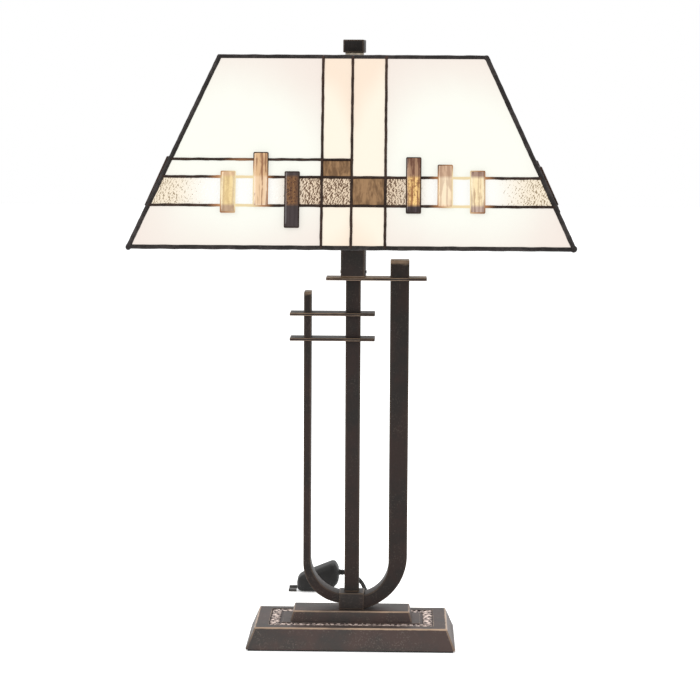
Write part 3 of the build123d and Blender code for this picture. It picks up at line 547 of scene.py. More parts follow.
# ---------------------------------------------------------------- materials
def patina(name, settings, level=1.0, upright=0.5, dark=1.0, ornament=False):
    """Dark brown patina with reddish patches and pale specks. Beside the edges, whose distance is stored on
    the mesh, it turns pale: partly wear of the patina, partly a painted highlight along the edges. level
    and upright say how much. dark scales the colours, and the darker castings have less gloss."""
    tree = Tree(name)
    tones = {}
    for key in ("patina", "patina_red", "speckle"):
        tones[key] = tuple(value * dark for value in getattr(settings, key))
    patches = tree.noise(28.0, 4.0, 0.6)
    fine = tree.noise(260.0, 3.0, 0.6)
    grit = tree.noise(900.0, 2.0, 0.6)
    base = tree.blend(patches.rise(0.36, 0.60), tones["patina"], tones["patina_red"])
    specks = tree.noise(640.0, 2.0, 0.5).rise(0.54, 0.68) * tree.noise(45.0, 3.0, 0.6).rise(0.40, 0.62)
    base = tree.blend(specks * 0.5, base, tones["speckle"])
    wear_and_sheen = 0.0
    if level:
        # Pale bands beside level and upright edges: wear of the patina and a painted highlight.
        corner, row, _ = tree.parts(tree.field("rim"))
        ragged = (tree.noise(120.0, 3.0, 0.65) - 0.5) * 1.2
        patchy = tree.noise(22.0, 2.0).rise(0.36, 0.60) * 0.6 + 0.4
        along = (row + ragged).rise(settings.wear_and_sheen_width, 0.1) * level
        up = (corner + ragged).rise(settings.wear_and_sheen_width, 0.1) * upright
        wear_and_sheen = along.most(up) * patchy
        base = tree.blend(wear_and_sheen, base, tuple(settings.rubbed))
    if ornament:
        band, height, _ = tree.parts(tree.field("relief"))
        base = tree.blend(band, base, tuple(settings.recess))
        shine = height.rise(0.22, 0.75) * band
        base = tree.blend(shine * (fine.rise(0.40, 0.62) * 0.75 + 0.25), base, tuple(settings.leaf))
        wear_and_sheen = wear_and_sheen + shine
    rough = 0.47 + fine * 0.12 - wear_and_sheen * 0.16
    normal = tree.bump(fine * 0.6 + grit * 0.4, 0.00022, 0.55)
    gloss = 0.5 if dark > 0.8 else 0.22
    return tree.finish(
        Base_Color=base, Metallic=0.5, Roughness=rough, Normal=normal, Specular_IOR_Level=gloss
    )


def plain(name, tone, rough, metallic=0.0, grain=300.0, depth=0.00008, variation=0.12, coat=0.0, shine=0.5):
    """One colour with a fine grain, a little cloudiness and a matching bump."""
    tree = Tree(name)
    cloud = tree.noise(35.0, 3.0)
    fine = tree.noise(grain, 3.0, 0.6)
    dark = tuple(max(v * (1 - variation), 0.0) for v in tone)
    light = tuple(min(v * (1 + variation), 1.0) for v in tone)
    base = tree.blend((cloud * 0.6 + fine * 0.4).rise(0.35, 0.65), dark, light)
    normal = tree.bump(fine, depth, 0.6)
    return tree.finish(
        Base_Color=base,
        Metallic=metallic,
        Roughness=rough + fine * 0.1,
        Specular_IOR_Level=shine,
        Normal=normal,
        Coat_Weight=coat,
    )


def solder(name, tone):
    """Dark patina on solder: brown, with a soft gloss. Next to a bulb the light bleeds over it."""
    tree = Tree(name)
    fine = tree.noise(240.0, 3.0, 0.6)
    cloud = tree.noise(40.0, 2.0)
    dark = tuple(v * 0.78 for v in tone)
    pale = tuple(min(v * 1.22 + 0.015, 1.0) for v in tone)
    base = tree.blend((cloud * 0.5 + fine * 0.5).rise(0.40, 0.68), dark, pale)
    spot = bulb_spot(tree)
    orange = tree.blend(spot.rise(0.037, 0.025), (0.0, 0.0, 0.0), (0.72, 0.50, 0.32))
    glow = tree.blend(spot.rise(0.028, 0.017), orange, (0.99, 0.91, 0.72))
    normal = tree.bump(fine * 0.5 + cloud * 0.5, 0.0003, 0.5)
    rough = 0.36 + fine * 0.14
    return tree.finish(
        Base_Color=base,
        Metallic=0.5,
        Specular_IOR_Level=0.18,
        Roughness=rough,
        Normal=normal,
        Emission_Color=glow,
        Emission_Strength=0.85,
    )


def bulb_light(tree):
    """Light of the nearer bulb on the glass: (h / distance) cubed, where h is a little more than the
    distance straight out to the long side."""
    x, y, z = tree.parts(tree.place)
    h = 0.115
    dx = abs(x) - BULB_REACH * MM
    dz = z - BULB_AXIS * MM
    return (h * h / (dx * dx + dz * dz + y * y)) ** 1.5


def bulb_spot(tree):
    """Distance to the place on the glass nearest to a bulb: two such places on each long side, one on
    each short side."""
    x, y, z = tree.parts(tree.place)
    long_face, short_face = 0.114, 0.189
    dx, dz = abs(x) - BULB_REACH * MM, z - BULB_AXIS * MM
    dy = abs(y) - long_face
    ex = abs(x) - short_face
    long_side = (dx * dx + dy * dy + dz * dz) ** 0.5
    short_side = (ex * ex + y * y + dz * dz) ** 0.5
    return long_side.least(short_side)


def glow_shader(tree, glow, share, rough, normal, coat):
    """Glass with light behind it: the colour seen comes partly from its own glow and partly from the
    light that falls on it."""
    return tree.finish(
        Base_Color=tree.tint(glow, (share, share, share)),
        Roughness=rough,
        Specular_IOR_Level=0.25,
        Normal=normal,
        Coat_Weight=coat,
        Emission_Color=glow,
        Emission_Strength=0.68,
    )


def milky_glass(name, far, near, start, end, streaks=None):
    """Milky glass lit from behind: the glow goes from the far colour to the near one as the light of the
    bulbs rises from start to end. Streaks run up the glass."""
    tree = Tree(name)
    light = bulb_light(tree)
    wisps = tree.noise(11.0, 3.0, 0.5, tree.mapped((1.0, 1.0, 0.4)), 0.5)
    glow = tree.blend((light + (wisps - 0.5) * 0.3).rise(start, end), far, near)
    if streaks:
        fibres = tree.noise(1.0, 4.0, 0.62, tree.mapped((330.0, 330.0, 14.0)), 0.3)
        broad = tree.noise(1.0, 2.0, 0.5, tree.mapped((95.0, 95.0, 6.0)), 0.3)
        glow = tree.blend((fibres * 0.55 + broad * 0.45).rise(0.42, 0.58), glow, streaks)
    normal = tree.bump(tree.noise(45.0, 2.0), 0.0006, 0.35)
    return glow_shader(tree, glow, 0.52, 0.16, normal, 0.2)


def hammered_glass(name, settings):
    """Clear glass with a bumpy face and light behind it. Each bump is dark on the side turned away from
    the bulb, more so where the light comes in at a slant."""
    tree = Tree(name)
    x, _, _ = tree.parts(tree.place)
    lean = tree.field("lean", "Fac")
    # inner is 1 towards the middle, behind the fittings between the bulbs, where the glass is in painted
    # shade: a browner ground and denser, darker flecks.
    inner = abs(x).rise(0.078, 0.040)
    outer = bulb_spot(tree).rise(0.027, 0.074) * 0.76
    dense = inner.most(outer)
    fine = tree.noise(300.0, 3.0, 0.6)
    mark = lean + (fine - 0.5) * 0.9
    dark = (mark - (0.62 - dense * 0.72)).rise(0.0, 0.16) * dense.rise(0.02, 0.25)
    # Painted light: the ground turns near white close to a bulb.
    ground = tree.blend(bulb_spot(tree).rise(0.075, 0.020), tuple(settings.hammered), (1.0, 1.0, 0.985))
    ground = tree.blend(inner * 0.75, ground, (0.90, 0.80, 0.68))
    brown = tree.blend(inner, tuple(settings.fleck_pale), tuple(settings.fleck))
    glow = tree.blend(dark * (fine.rise(0.35, 0.55) * 0.4 + 0.6), ground, brown)
    normal = tree.bump(fine, 0.0002, 0.3)
    return glow_shader(tree, glow, 0.50, 0.12, normal, 0.3)


def bar_glass(name):
    """Glass of the raised bars, lit from behind and painted as glow: colours stored on the mesh, darker
    streaks along the bar, and dark flecks where the hammered band lies behind, the painted shade of its
    bumps seen through the bar."""
    tree = Tree(name)
    own = tree.field("tone", "Color")
    flat = tree.field("flat")
    fibres = tree.noise(1.0, 3.0, 0.5, tree.mapped((0.40, 0.022, 1.0), source=flat))
    smoke = tree.noise(1.0, 3.0, 0.55, tree.mapped((0.17, 0.07, 1.0), source=flat), 0.8)
    depth, band, _ = tree.parts(tree.field("streak"))
    streak = (fibres * 0.7 + smoke * 0.3).rise(0.56, 0.44)
    glow = tree.blend(streak * depth, own, tree.tint(own, (0.62, 0.50, 0.45)))
    flecks = tree.noise(1.0, 3.0, 0.65, tree.mapped((0.55, 0.42, 1.0), source=flat), 0.6)
    glow = tree.blend(flecks.rise(0.50, 0.60) * band, glow, tree.tint(own, (0.55, 0.42, 0.34)))
    return glow_shader(tree, glow, 0.52, 0.10, tree.bump(smoke, 0.0004, 0.4), 0.4)


def dress(nodes, material):
    """Gives frame nodes a material in their own slots."""
    for name in nodes:
        piece = NODES[name]
        if not piece.material_slots:
            piece.data.materials.append(material)
        for slot in piece.material_slots:
            slot.material = material


# ---------------------------------------------------------------- operators
class LampOperator(bpy.types.Operator):
    """Base of the lamp's operators: each builds its pieces and finishes."""

    bl_options = {"REGISTER", "UNDO"}

    def execute(self, context):
        self.build(context.scene)
        return {"FINISHED"}


class LAMP_OT_stage(LampOperator):
    """Sets the camera, the pale floor and the soft light"""

    bl_idname = "lamp.stage"
    bl_label = "Stage"

    def build(self, scene):
        settings = scene.lamp_stage
        lens = bpy.data.cameras.new("camera")
        lens.sensor_width = 36.0
        lens.lens = settings.lens
        lens.clip_end = 30.0
        camera = bpy.data.objects.new("camera", lens)
        camera.location = (0.050, -2.350, 0.569)
        camera.rotation_euler = (math.radians(90 - 6.44), math.radians(-0.3), math.radians(1.33))
        scene.collection.objects.link(camera)
        scene.camera = camera
        scene.view_settings.view_transform = "Standard"
        world = bpy.data.worlds.new("studio")
        world.use_nodes = True
        sky = world.node_tree.nodes["Background"]
        sky.inputs["Color"].default_value = (1.0, 1.0, 1.0, 1.0)
        sky.inputs["Strength"].default_value = settings.world
        scene.world = world
        tree = Tree("floor_white")
        grain = tree.noise(6.0, 2.0)
        tone = tree.blend(grain, (0.985, 0.985, 0.985), (1.0, 1.0, 1.0))
        white = (1.0, 1.0, 1.0)
        material = tree.finish(
            Base_Color=tone, Roughness=0.7, Emission_Color=white, Emission_Strength=0.25
        )
        side = 9.0
        corners = [(-side, -side, 0), (side, -side, 0), (side, side, 0), (-side, side, 0)]
        mesh = bpy.data.meshes.new("floor")
        mesh.from_pydata(corners, [], [(0, 1, 2, 3)])
        mesh.materials.append(material)
        floor = bpy.data.objects.new("floor", mesh)
        scene.collection.objects.link(floor)
        for name, place, size, power in (
            ("key_light", (-1.5, -1.6, 2.0), 1.6, settings.key),
            ("fill_light", (1.8, -1.2, 1.3), 1.4, settings.key * 0.5),
            ("top_light", (0.2, 0.9, 2.3), 1.6, settings.key),
        ):
            data = bpy.data.lights.new(name, "AREA")
            data.size = size
            data.energy = power
            light = bpy.data.objects.new(name, data)
            light.location = place
            aim = Vector((0.0, 0.0, 0.3)) - Vector(place)
            light.rotation_euler = aim.to_track_quat("-Z", "Y").to_euler()
            scene.collection.objects.link(light)


# The cord's control points, in millimetres: from the boot to the coil, then from the coil to the plug.
LEAD_ROUTE = ((-38.0, 79.5, 7.5), (-38.3, 91.0, 5.9), (-35.2, 102.5, 2.9), (-28.0, 111.5, 2.25))
TAIL_ROUTE = (
    (-20.0, 123.5, 6.6),
    (-9.0, 134.6, 5.4),
    (0.8, 146.6, 2.6),
    (8.6, 163.0, 2.25),
    (13.4, 181.5, 2.25),
    (13.8, 201.0, 2.25),
    (11.2, 219.0, 3.4),
    (5.4, 230.6, 12.6),
    (-7.6, 235.6, 20.6),
)
PLUG_END = (-19.0, 236.0, 20.9)
COIL_CENTRE = (5.6, 98.0)
COIL_START = 158.0
COIL_TURNS = 8 + (COIL_START - 135.0) / 360.0


class LAMP_OT_cord(LampOperator):
    """Lays the mains cord with its boot, coil, tie and plug"""

    bl_idname = "lamp.cord"
    bl_label = "Cord and plug"

    def build(self, scene):
        settings = scene.lamp_cord
        black = tuple(settings.black)
        dull = {"variation": 0.08, "shine": 0.2}
        rubber = plain("cord_rubber", black, 0.5, grain=500.0, depth=0.00005, **dull)
        moulded = plain("plug_rubber", black, 0.42, grain=420.0, depth=0.00006, **dull)
        boot = self.boot(moulded)
        plug = self.plug(moulded)
        tie = self.tie(settings, moulded)
        dress(["plug_pins"], plain("pin_brass", (0.20, 0.19, 0.18), 0.4, 0.5))
        curve = bpy.data.curves.new("mains_cord", "CURVE")
        curve.dimensions = "3D"
        spline = curve.splines.new("NURBS")
        points = list(LEAD_ROUTE[:-1]) + self.coil(settings) + list(TAIL_ROUTE[1:]) + [PLUG_END]
        spline.points.add(len(points) - 1)
        flat = [value for point in points for value in (*[c * MM for c in point], 1.0)]
        spline.points.foreach_set("co", flat)
        spline.order_u = 3
        spline.use_endpoint_u = True
        curve.bevel_depth = settings.diameter / 2 * MM
        curve.bevel_resolution = 4
        curve.resolution_u = 6
        curve.use_fill_caps = True
        curve.materials.append(rubber)
        cord = bpy.data.objects.new("mains_cord", curve)
        scene.collection.objects.link(cord)
        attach(cord, "lamp_base")
        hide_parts("cord_lead", "cord_coil", "cord_tail")

    def coil(self, settings):
        """Two layers of turns, clockwise from above: r falls evenly from the outside to the inside on
        the floor, then grows again one diameter higher."""
        count = int(COIL_TURNS * settings.turn_points)
        points = []
        for step in range(count + 1):
            share = step / count
            angle = math.radians(COIL_START - 360.0 * COIL_TURNS * share)
            r = settings.coil_inner + (settings.coil_radius - settings.coil_inner) * abs(1 - 2 * share)
            climb = min(max((share - 0.47) / 0.06, 0.0), 1.0)
            z = settings.diameter * (0.5 + climb)
            points.append((COIL_CENTRE[0] + r * math.cos(angle), COIL_CENTRE[1] + r * math.sin(angle), z))
        return points

    def boot(self, material):
        """Tapered strain relief: a cone along +Y whose radius dips in each of its grooves."""
        y0, y1 = float(low("cord_boot")[1]), LEAD_ROUTE[0][1]
        wall = y1 - 22.0
        share = np.linspace(0, 1, 61)
        groove = 0.45 * np.clip(np.sin(2 * np.pi * 6 * share), 0, 1) ** 0.6
        r = 4.2 + (2.75 - 4.2) * share - groove * (share > 0.06) * (share < 0.97)
        cone = np.stack([r, wall + 2.2 + share * (y1 - wall - 2.2)], -1)
        ends = [(0, y0), (3.9, y0), (3.9, wall), (5.2, wall)]
        ends += [(5.5, wall + 0.4), (5.5, wall + 1.8), (5.1, wall + 2.2)]
        profile = np.concatenate([ends, cone, [(2.3, y1), (0, y1)]])
        x, z = LEAD_ROUTE[0][0], LEAD_ROUTE[0][2]
        shape = Shape().add(lathe(profile, "Y", (x, 0.0, z), 32))
        return shape.make("cord_boot_ribbed", material, "lamp_base", "cord_rubber", ["cord_boot"])

    def plug(self, material):
        """Moulded plug: superellipse sections from the low pin end to the raised cord end. The top
        climbs to a shoulder and falls to the end face, and the underside turns up near it."""
        x1 = PLUG_END[0]
        share = np.linspace(0, 1, 49)
        x = x1 - 49.0 + 49.0 * share
        top = np.interp(x - x1, (-49.0, -9.0, -5.0, 0.0), (17.0, 33.3, 33.2, 29.0))
        bottom = np.interp(x - x1, (-49.0, -17.0, -8.0, 0.0), (0.0, 0.0, 3.6, 8.8))
        tall, middle = (top - bottom) / 2, (top + bottom) / 2
        ends = (1 - np.abs(2 * share - 1) ** 9) ** (1 / 2.6)
        half_y = 17.0 * ends * (0.90 + 0.10 * np.sin(np.pi * share))
        angle = np.linspace(0, 2 * np.pi, 48, endpoint=False)
        swell = np.abs(np.cos(angle)) ** 0.45 * np.sign(np.cos(angle))
        lift = np.abs(np.sin(angle)) ** 0.45 * np.sign(np.sin(angle))
        foot = np.minimum(1.0, ends * 1.02)
        z = middle[:, None] + (tall * foot)[:, None] * lift
        y = PLUG_END[1] + half_y[:, None] * swell
        shape = Shape().add(np.stack([np.repeat(x[:, None], 48, 1), y, z], -1))
        share = np.linspace(0, 1, 41)
        groove = 0.35 * np.clip(np.sin(2 * np.pi * 4 * share), 0, 1) ** 0.6
        start = np.array(PLUG_END) + (-3.0, 0.0, 0.0)
        end = np.array(TAIL_ROUTE[-1])
        along = (end - start) / np.linalg.norm(end - start)
        side = np.cross(along, (0, 0, 1.0))
        side /= np.linalg.norm(side)
        up = np.cross(side, along)
        r = (3.6 + (2.6 - 3.6) * share - groove * (share < 0.95))[:, None, None]
        angle = np.linspace(0, 2 * np.pi, 24, endpoint=False)[None, :, None]
        centre = start + (end - start) * share[:, None, None]
        shape.add(centre + r * (side * np.cos(angle) + up * np.sin(angle)))
        return shape.make("plug_moulded", material, "lamp_base", "plug_plastic", ["plug_body"])

    def tie(self, settings, material):
        """Twist tie round the coil's turns at one place: a small flat section carried round a rounded
        rectangle that holds the bundle."""
        middle = (settings.coil_radius + settings.coil_inner) / 2
        half = (settings.coil_radius - settings.coil_inner) / 2 + settings.diameter / 2 + 0.5
        outline, _ = rectangle(half, settings.diameter + 0.45, 2.0, 6, 3, 6)
        ring = outline[0]
        angle = math.radians(60.0)
        outward = np.array([math.cos(angle), math.sin(angle), 0.0])
        across = np.array([-math.sin(angle), math.cos(angle), 0.0])
        section, _ = rectangle(0.45, 2.2, 0.35, 2, 2, 3)
        centre = np.array([COIL_CENTRE[0], COIL_CENTRE[1], settings.diameter + 0.9]) + outward * middle
        spine = centre + ring[:, :1] * outward + ring[:, 1:] * np.array([0, 0, 1.0])
        normal = (spine - centre) / np.linalg.norm(spine - centre, axis=1)[:, None]
        thick, wide = section[0][None, :, :1], section[0][None, :, 1:]
        points = spine[:, None] + thick * normal[:, None] + wide * across
        shape = Shape().add(points, loop=True)
        return shape.make("cord_tie", material, "lamp_base", "cord_rubber")


class LAMP_OT_base(LampOperator):
    """Builds the plinth with its ornament band and the block on it"""

    bl_idname = "lamp.base"
    bl_label = "Base"

    def build(self, scene):
        settings = scene.lamp_metal
        self.plinth(settings)
        shape = Shape()
        z0, z1 = float(low("upper_plinth")[2]), float(high("upper_plinth")[2])
        quarter = np.linspace(0, np.pi / 2, 5)
        rounding = 0.9 * (1 - np.cos(quarter))
        end_inset = np.concatenate([[0.0, 1.4], 2.8 + rounding, [10.0]])
        inset = np.concatenate([[0.0, 0.4], 0.9 + rounding, [8.0]])
        z = np.concatenate([[z0, (z0 + z1) / 2], z1 - 0.9 * (1 - np.sin(quarter)), [z1]])
        rim = np.concatenate([[9.0, 5.0], np.zeros(5), [7.0]])
        corner = np.interp(z, (z1 - 1.0, z1), (1.2, 0.5))
        half_x, half_y = 63.0 - end_inset, 20.5 - inset
        points, field = stacked(half_x, half_y, z, corner, rim, flat_from=7, side_x=4, side_y=2)
        shape.add(points, rim=field)
        material = patina("tier_patina", settings, 0.9, 0.2, 1.0)
        shape.make("tier", material, "lamp_base", "patinated_metal", ["upper_plinth"])
        dress(["felt_pad"], plain("felt", (0.13, 0.14, 0.13), 0.95, grain=900.0, depth=0.0002))

    def plinth(self, settings):
        """Rows from the foot up the sloped sides, over the rounded edge, across the border, down into
        the ornament band, up again and in under the tier. Inside the band z is the floor plus the vine's
        height at (distance round the band, distance across it)."""
        foot, top = 1.5, float(high("base_casting")[2])
        border_x, border_y, wide, deep, slope = 14.0, 12.0, 11.0, 1.2, 8.5
        foot_x, foot_y, tier_x, tier_y = 107.0, 58.0, 60.5, 19.0
        band_rows = 25
        across = np.linspace(0, 1, band_rows)
        round_r = 1.1
        quarter = np.linspace(0, np.pi / 2, 5)
        inset = [0.3, 0.0, 0.0, 0.5]
        z = [foot, foot + 0.3, foot + 1.7, foot + 2.1]
        rim = [9.0, 9.0, 9.0, 9.0]
        inset += [slope / 2, slope - 0.4]
        z += [(foot + top) / 2 + 0.6, top - round_r]
        rim += [9.0, 0.2]
        inset += list(slope - 0.4 + round_r * (1 - np.cos(quarter[1:])))
        z += list(top - round_r * (1 - np.sin(quarter[1:])))
        rim += [0.0] * 4
        edge = len(inset)
        inset_x, inset_y = np.array(inset), np.array(inset)
        border = np.array([0.5, 1.0])
        z += [top, top]
        rim += [5.0, 0.3]
        inset_x = np.append(inset_x, slope + border * border_x - border * 0.2)
        inset_y = np.append(inset_y, slope + border * border_y - border * 0.2)
        inset_x = np.append(inset_x, slope + border_x + across * wide)
        inset_y = np.append(inset_y, slope + border_y + across * wide)
        z += [top - deep] * band_rows
        rim += [9.0] * band_rows
        inner = np.array([0.2, 1.0])
        past_x, past_y = slope + border_x + wide, slope + border_y + wide
        inset_x = np.append(inset_x, past_x + inner * (foot_x - tier_x - slope - border_x - wide))
        inset_y = np.append(inset_y, past_y + inner * (foot_y - tier_y - slope - border_y - wide))
        z += [top, top]
        rim += [0.5, 9.0]
        half_x, half_y = foot_x - inset_x, foot_y - inset_y
        corner = np.interp(np.arange(len(half_x)), (0, edge, edge + 2), (1.6, 1.2, 0.25))
        steps = {"side_x": 380, "side_y": 150, "corner": 4}
        points, field = stacked(half_x, half_y, z, corner, rim, flat_from=edge, **steps)
        first = edge + 2
        band = points[first : first + band_rows]
        middle = band[band_rows // 2]
        steps = np.linalg.norm(np.roll(middle, -1, axis=0) - middle, axis=1)
        place = np.concatenate([[0.0], np.cumsum(steps)[:-1]])
        total = float(steps.sum())
        pitch = total / round(total / settings.leaf_pitch)
        q = ((across - 0.5) * wide)[:, None]
        height = vine(place[None, :], q, pitch, wide)
        sides = np.clip(1 - np.abs(q) / (wide / 2), 0, 1)
        height = height * np.clip(sides / 0.06, 0, 1)
        band[..., 2] += settings.relief * height
        relief = np.zeros(points.shape[:2] + (3,))
        relief[first : first + band_rows, :, 0] = 1.0
        relief[first : first + band_rows, :, 1] = height
        shape = Shape().add(points, rim=field, relief=relief)
        material = patina("plinth_patina", settings, 0.95, 0.3, 0.96, ornament=True)
        shape.make("plinth", material, "lamp_base", "patinated_metal", ["base_casting"])


class LAMP_OT_stem(LampOperator):
    """Builds the foot block, the column, both arms, the cross bars and the neck"""

    bl_idname = "lamp.stem"
    bl_label = "Stem"

    def build(self, scene):
        settings = scene.lamp_metal
        material = patina("stem_patina", settings, 0.5, 0.08, 0.64)
        block = patina("block_patina", settings, 0.25, 0.06, 0.8)
        r = settings.edge_round
        for node, name, radius in (
            ("stem_block", "foot_block", r),
            ("centre_column", "column", r),
            ("upper_bar", "cross_bar_upper", 0.5),
            ("middle_bar", "cross_bar_middle", 0.5),
            ("lower_bar", "cross_bar_lower", 0.5),
        ):
            a, b = low(node), high(node)
            # The upper bar's top face is painted pale: light from above, with some wear.
            wear_and_sheen = node == "upper_bar"
            shape = rounded_box(Shape(), (a[0], b[0]), (a[1], b[1]), (a[2], b[2]), radius, worn_and_lit_top=wear_and_sheen)
            finish = block if node == "stem_block" else material
            shape.make(name, finish, "lamp_base", "patinated_metal", [node])
        z0, z1 = low("neck_block")[2], high("neck_block")[2]
        shape = rounded_box(Shape(), (-12.3, 12.3), (-12.3, 12.3), (z0, z1), r, -3.0)
        shape.make("neck", material, "lamp_base", "patinated_metal", ["neck_block"])
        top = high("right_arm")[2]
        outer, inner = (57.3, 57.3, 91.0), (38.0, 34.0, 82.0)
        self.arm("wide_arm", 1, outer, inner, top, r, material, "right_arm")
        top = high("left_arm")[2]
        outer, inner = (50.3, 42.7, 83.0), (42.8, 38.0, 87.7)
        self.arm("narrow_arm", -1, outer, inner, top, r, material, "left_arm")
        dress(["neck_screws"], patina("screw_patina", settings, 0.0, dark=0.8))

    def arm(self, name, side, outer, inner, top, radius, material, node):
        """Flat bar bent to meet the block. Each edge is (distance, bend radius, bend height): straight
        down, then x = c + R cos a, z = h - R sin a. A rounded rectangle between the edges is carried
        along, and shrinks over the last millimetre at the top."""
        stop = 12.6
        quarter = np.linspace(0, np.pi / 2, 4)
        shrink = radius * (1 - np.sin(quarter))
        height = top - radius * (1 - np.cos(quarter))
        bend = np.linspace(0, 1, 49)
        edges = []
        for x, r, h in (outer, inner):
            centre = x - r
            angle = bend * math.acos((stop - centre) / r)
            xs = np.concatenate([np.full(4, x), centre + r * np.cos(angle)])
            zs = np.concatenate([height, h - r * np.sin(angle)])
            edges.append(np.stack([side * xs, zs], -1))
        inset = np.concatenate([shrink, np.zeros(len(bend))])
        rim = np.concatenate([np.zeros(4), np.full(len(bend), 60.0)])
        middle, span = (edges[0] + edges[1]) / 2, edges[0] - edges[1]
        width = np.linalg.norm(span, axis=1)
        span = span / width[:, None]
        round_r = np.maximum(radius - inset, 0.05)
        section, corner = rectangle(width / 2 - inset, 12.0 - inset, round_r, 2, 2, 4)
        x = middle[:, :1] + section[..., 0] * span[:, :1]
        z = middle[:, 1:] + section[..., 0] * span[:, 1:]
        points = np.stack([x, section[..., 1], z], -1)
        field = np.stack([corner, np.broadcast_to(rim[:, None], corner.shape), np.zeros_like(corner)], -1)
        Shape().add(points, rim=field).make(name, material, "lamp_base", "patinated_metal", [node])


class LAMP_OT_fittings(LampOperator):
    """Builds the lampholders, knobs and rods inside the shade"""

    bl_idname = "lamp.fittings"
    bl_label = "Light fittings"

    def build(self, scene):
        bronze = plain("fitting_bronze", (0.34, 0.29, 0.24), 0.36, 0.75, variation=0.15)
        brass = plain("rod_brass", (0.66, 0.55, 0.34), 0.3, 0.9)
        glazed = plain("insulator_glaze", (0.90, 0.885, 0.85), 0.2, coat=0.4, variation=0.03)
        knob = plain("knob_black", (0.13, 0.12, 0.115), 0.25, coat=0.3, variation=0.05)
        steel = plain("zinc", (0.62, 0.62, 0.62), 0.35, 0.9)
        shells, inserts = Shape(), Shape()
        centre = (0.0, 0.0, BULB_AXIS)
        for side in (-1, 1):
            outline = [(0, 8), (5, 8), (5, 12), (10.5, 12), (11.3, 12.3), (18.9, 16.2)]
            outline += [(19.4, 16.8), (19.5, 18), (19.5, 45), (19.9, 45.4), (19.9, 46.4)]
            outline += [(19.5, 46.8), (19.5, 53.5), (19.2, 54)]
            outline += [(18.4, 54), (18.2, 53.6), (18.2, 17.6), (9.7, 13.3), (0, 13.3)]
            shells.add(lathe([(r, side * x) for r, x in outline], "X", centre, 64))
            cup = [(0, 25), (18.2, 25), (18.2, 49.4), (17.6, 50)]
            cup += [(14.2, 50), (13.6, 49.4), (13.6, 29), (0, 29)]
            inserts.add(lathe([(r, side * x) for r, x in cup], "X", centre, 64))
        shells.make("lampholders", bronze, "lamp_base", "fitting_metal", ["lampholder_shells"])
        inserts.make("lampholder_cups", glazed, "lamp_base", "insulator", ["lampholder_inserts"])
        for name, side in (("left", -1), ("right", 1)):
            node = "switch_knob_" + name
            a, b = low(node), high(node)
            angle = np.linspace(0, 2 * np.pi, 96, endpoint=False)
            fluted = 6.0 - 0.35 * (0.5 + 0.5 * np.cos(16 * angle))
            rows = [(0.05, a[2]), (4.6, a[2]), (5.6, a[2] + 0.5), (6.0, a[2] + 1.4)]
            rows += [(6.0, a[2] + 9.6), (5.4, a[2] + 10.7), (2.6, a[2] + 11.0)]
            rows += [(2.5, a[2] + 11.2), (2.5, b[2])]
            rows = np.array(rows)
            r = rows[:, :1] * np.where(rows[:, :1] > 5.3, fluted / 6.0, 1.0)
            x = side * 20.5 + r * np.cos(angle)
            points = np.stack([x, r * np.sin(angle), np.repeat(rows[:, 1:], 96, 1)], -1)
            Shape().add(points).make("knob_" + name, knob, "knob_" + name, "knob_plastic", [node])
        a, b = low("cluster_body"), high("cluster_body")
        shape = rounded_box(Shape(), (a[0], b[0]), (a[1], b[1]), (a[2], b[2]), 1.5)
        shape.make("cluster", bronze, "lamp_base", "fitting_metal", ["cluster_body"])
        self.riser(brass)
        dress(["stem_rod", "riser_rod"], brass)
        dress(["rod_nuts", "bottom_plate", "bottom_screws"], steel)
        dress(["base_weights"], plain("raw_iron", (0.3, 0.3, 0.31), 0.7, 0.6))
        dress(["inner_wires"], plain("wire_cover", (0.25, 0.25, 0.25), 0.45))

    def riser(self, material):
        """Rod with a rounded thread near its top, and the seat collar: the radius dips once for each
        pitch, r = R - d (0.5 + 0.5 cos 2 pi z / p)."""
        a, b = low("riser_rod"), high("riser_rod")
        z = np.linspace(b[2] - 26.0, b[2], 131)
        thread = 5.0 - 0.35 * (0.5 + 0.5 * np.cos(2 * np.pi * z / 1.2))
        seat = float(low("spider")[2])
        thread = np.where((z > seat - 3.0) & (z < seat), 5.0, thread)
        collar = [(5.0, seat - 3.4), (8.6, seat - 3.0), (9.0, seat - 2.6), (9.0, seat - 0.4), (8.6, seat)]
        profile = np.concatenate([[(0, a[2]), (5, a[2])], np.stack([thread, z], -1), [(0, b[2])]])
        rod = Shape().add(lathe(profile, steps=32))
        rod.add(lathe([(0.0, seat - 3.4)] + collar + [(0.0, seat)]))
        rod.make("riser", material, "lamp_base", "rod_brass", ["riser_rod"])


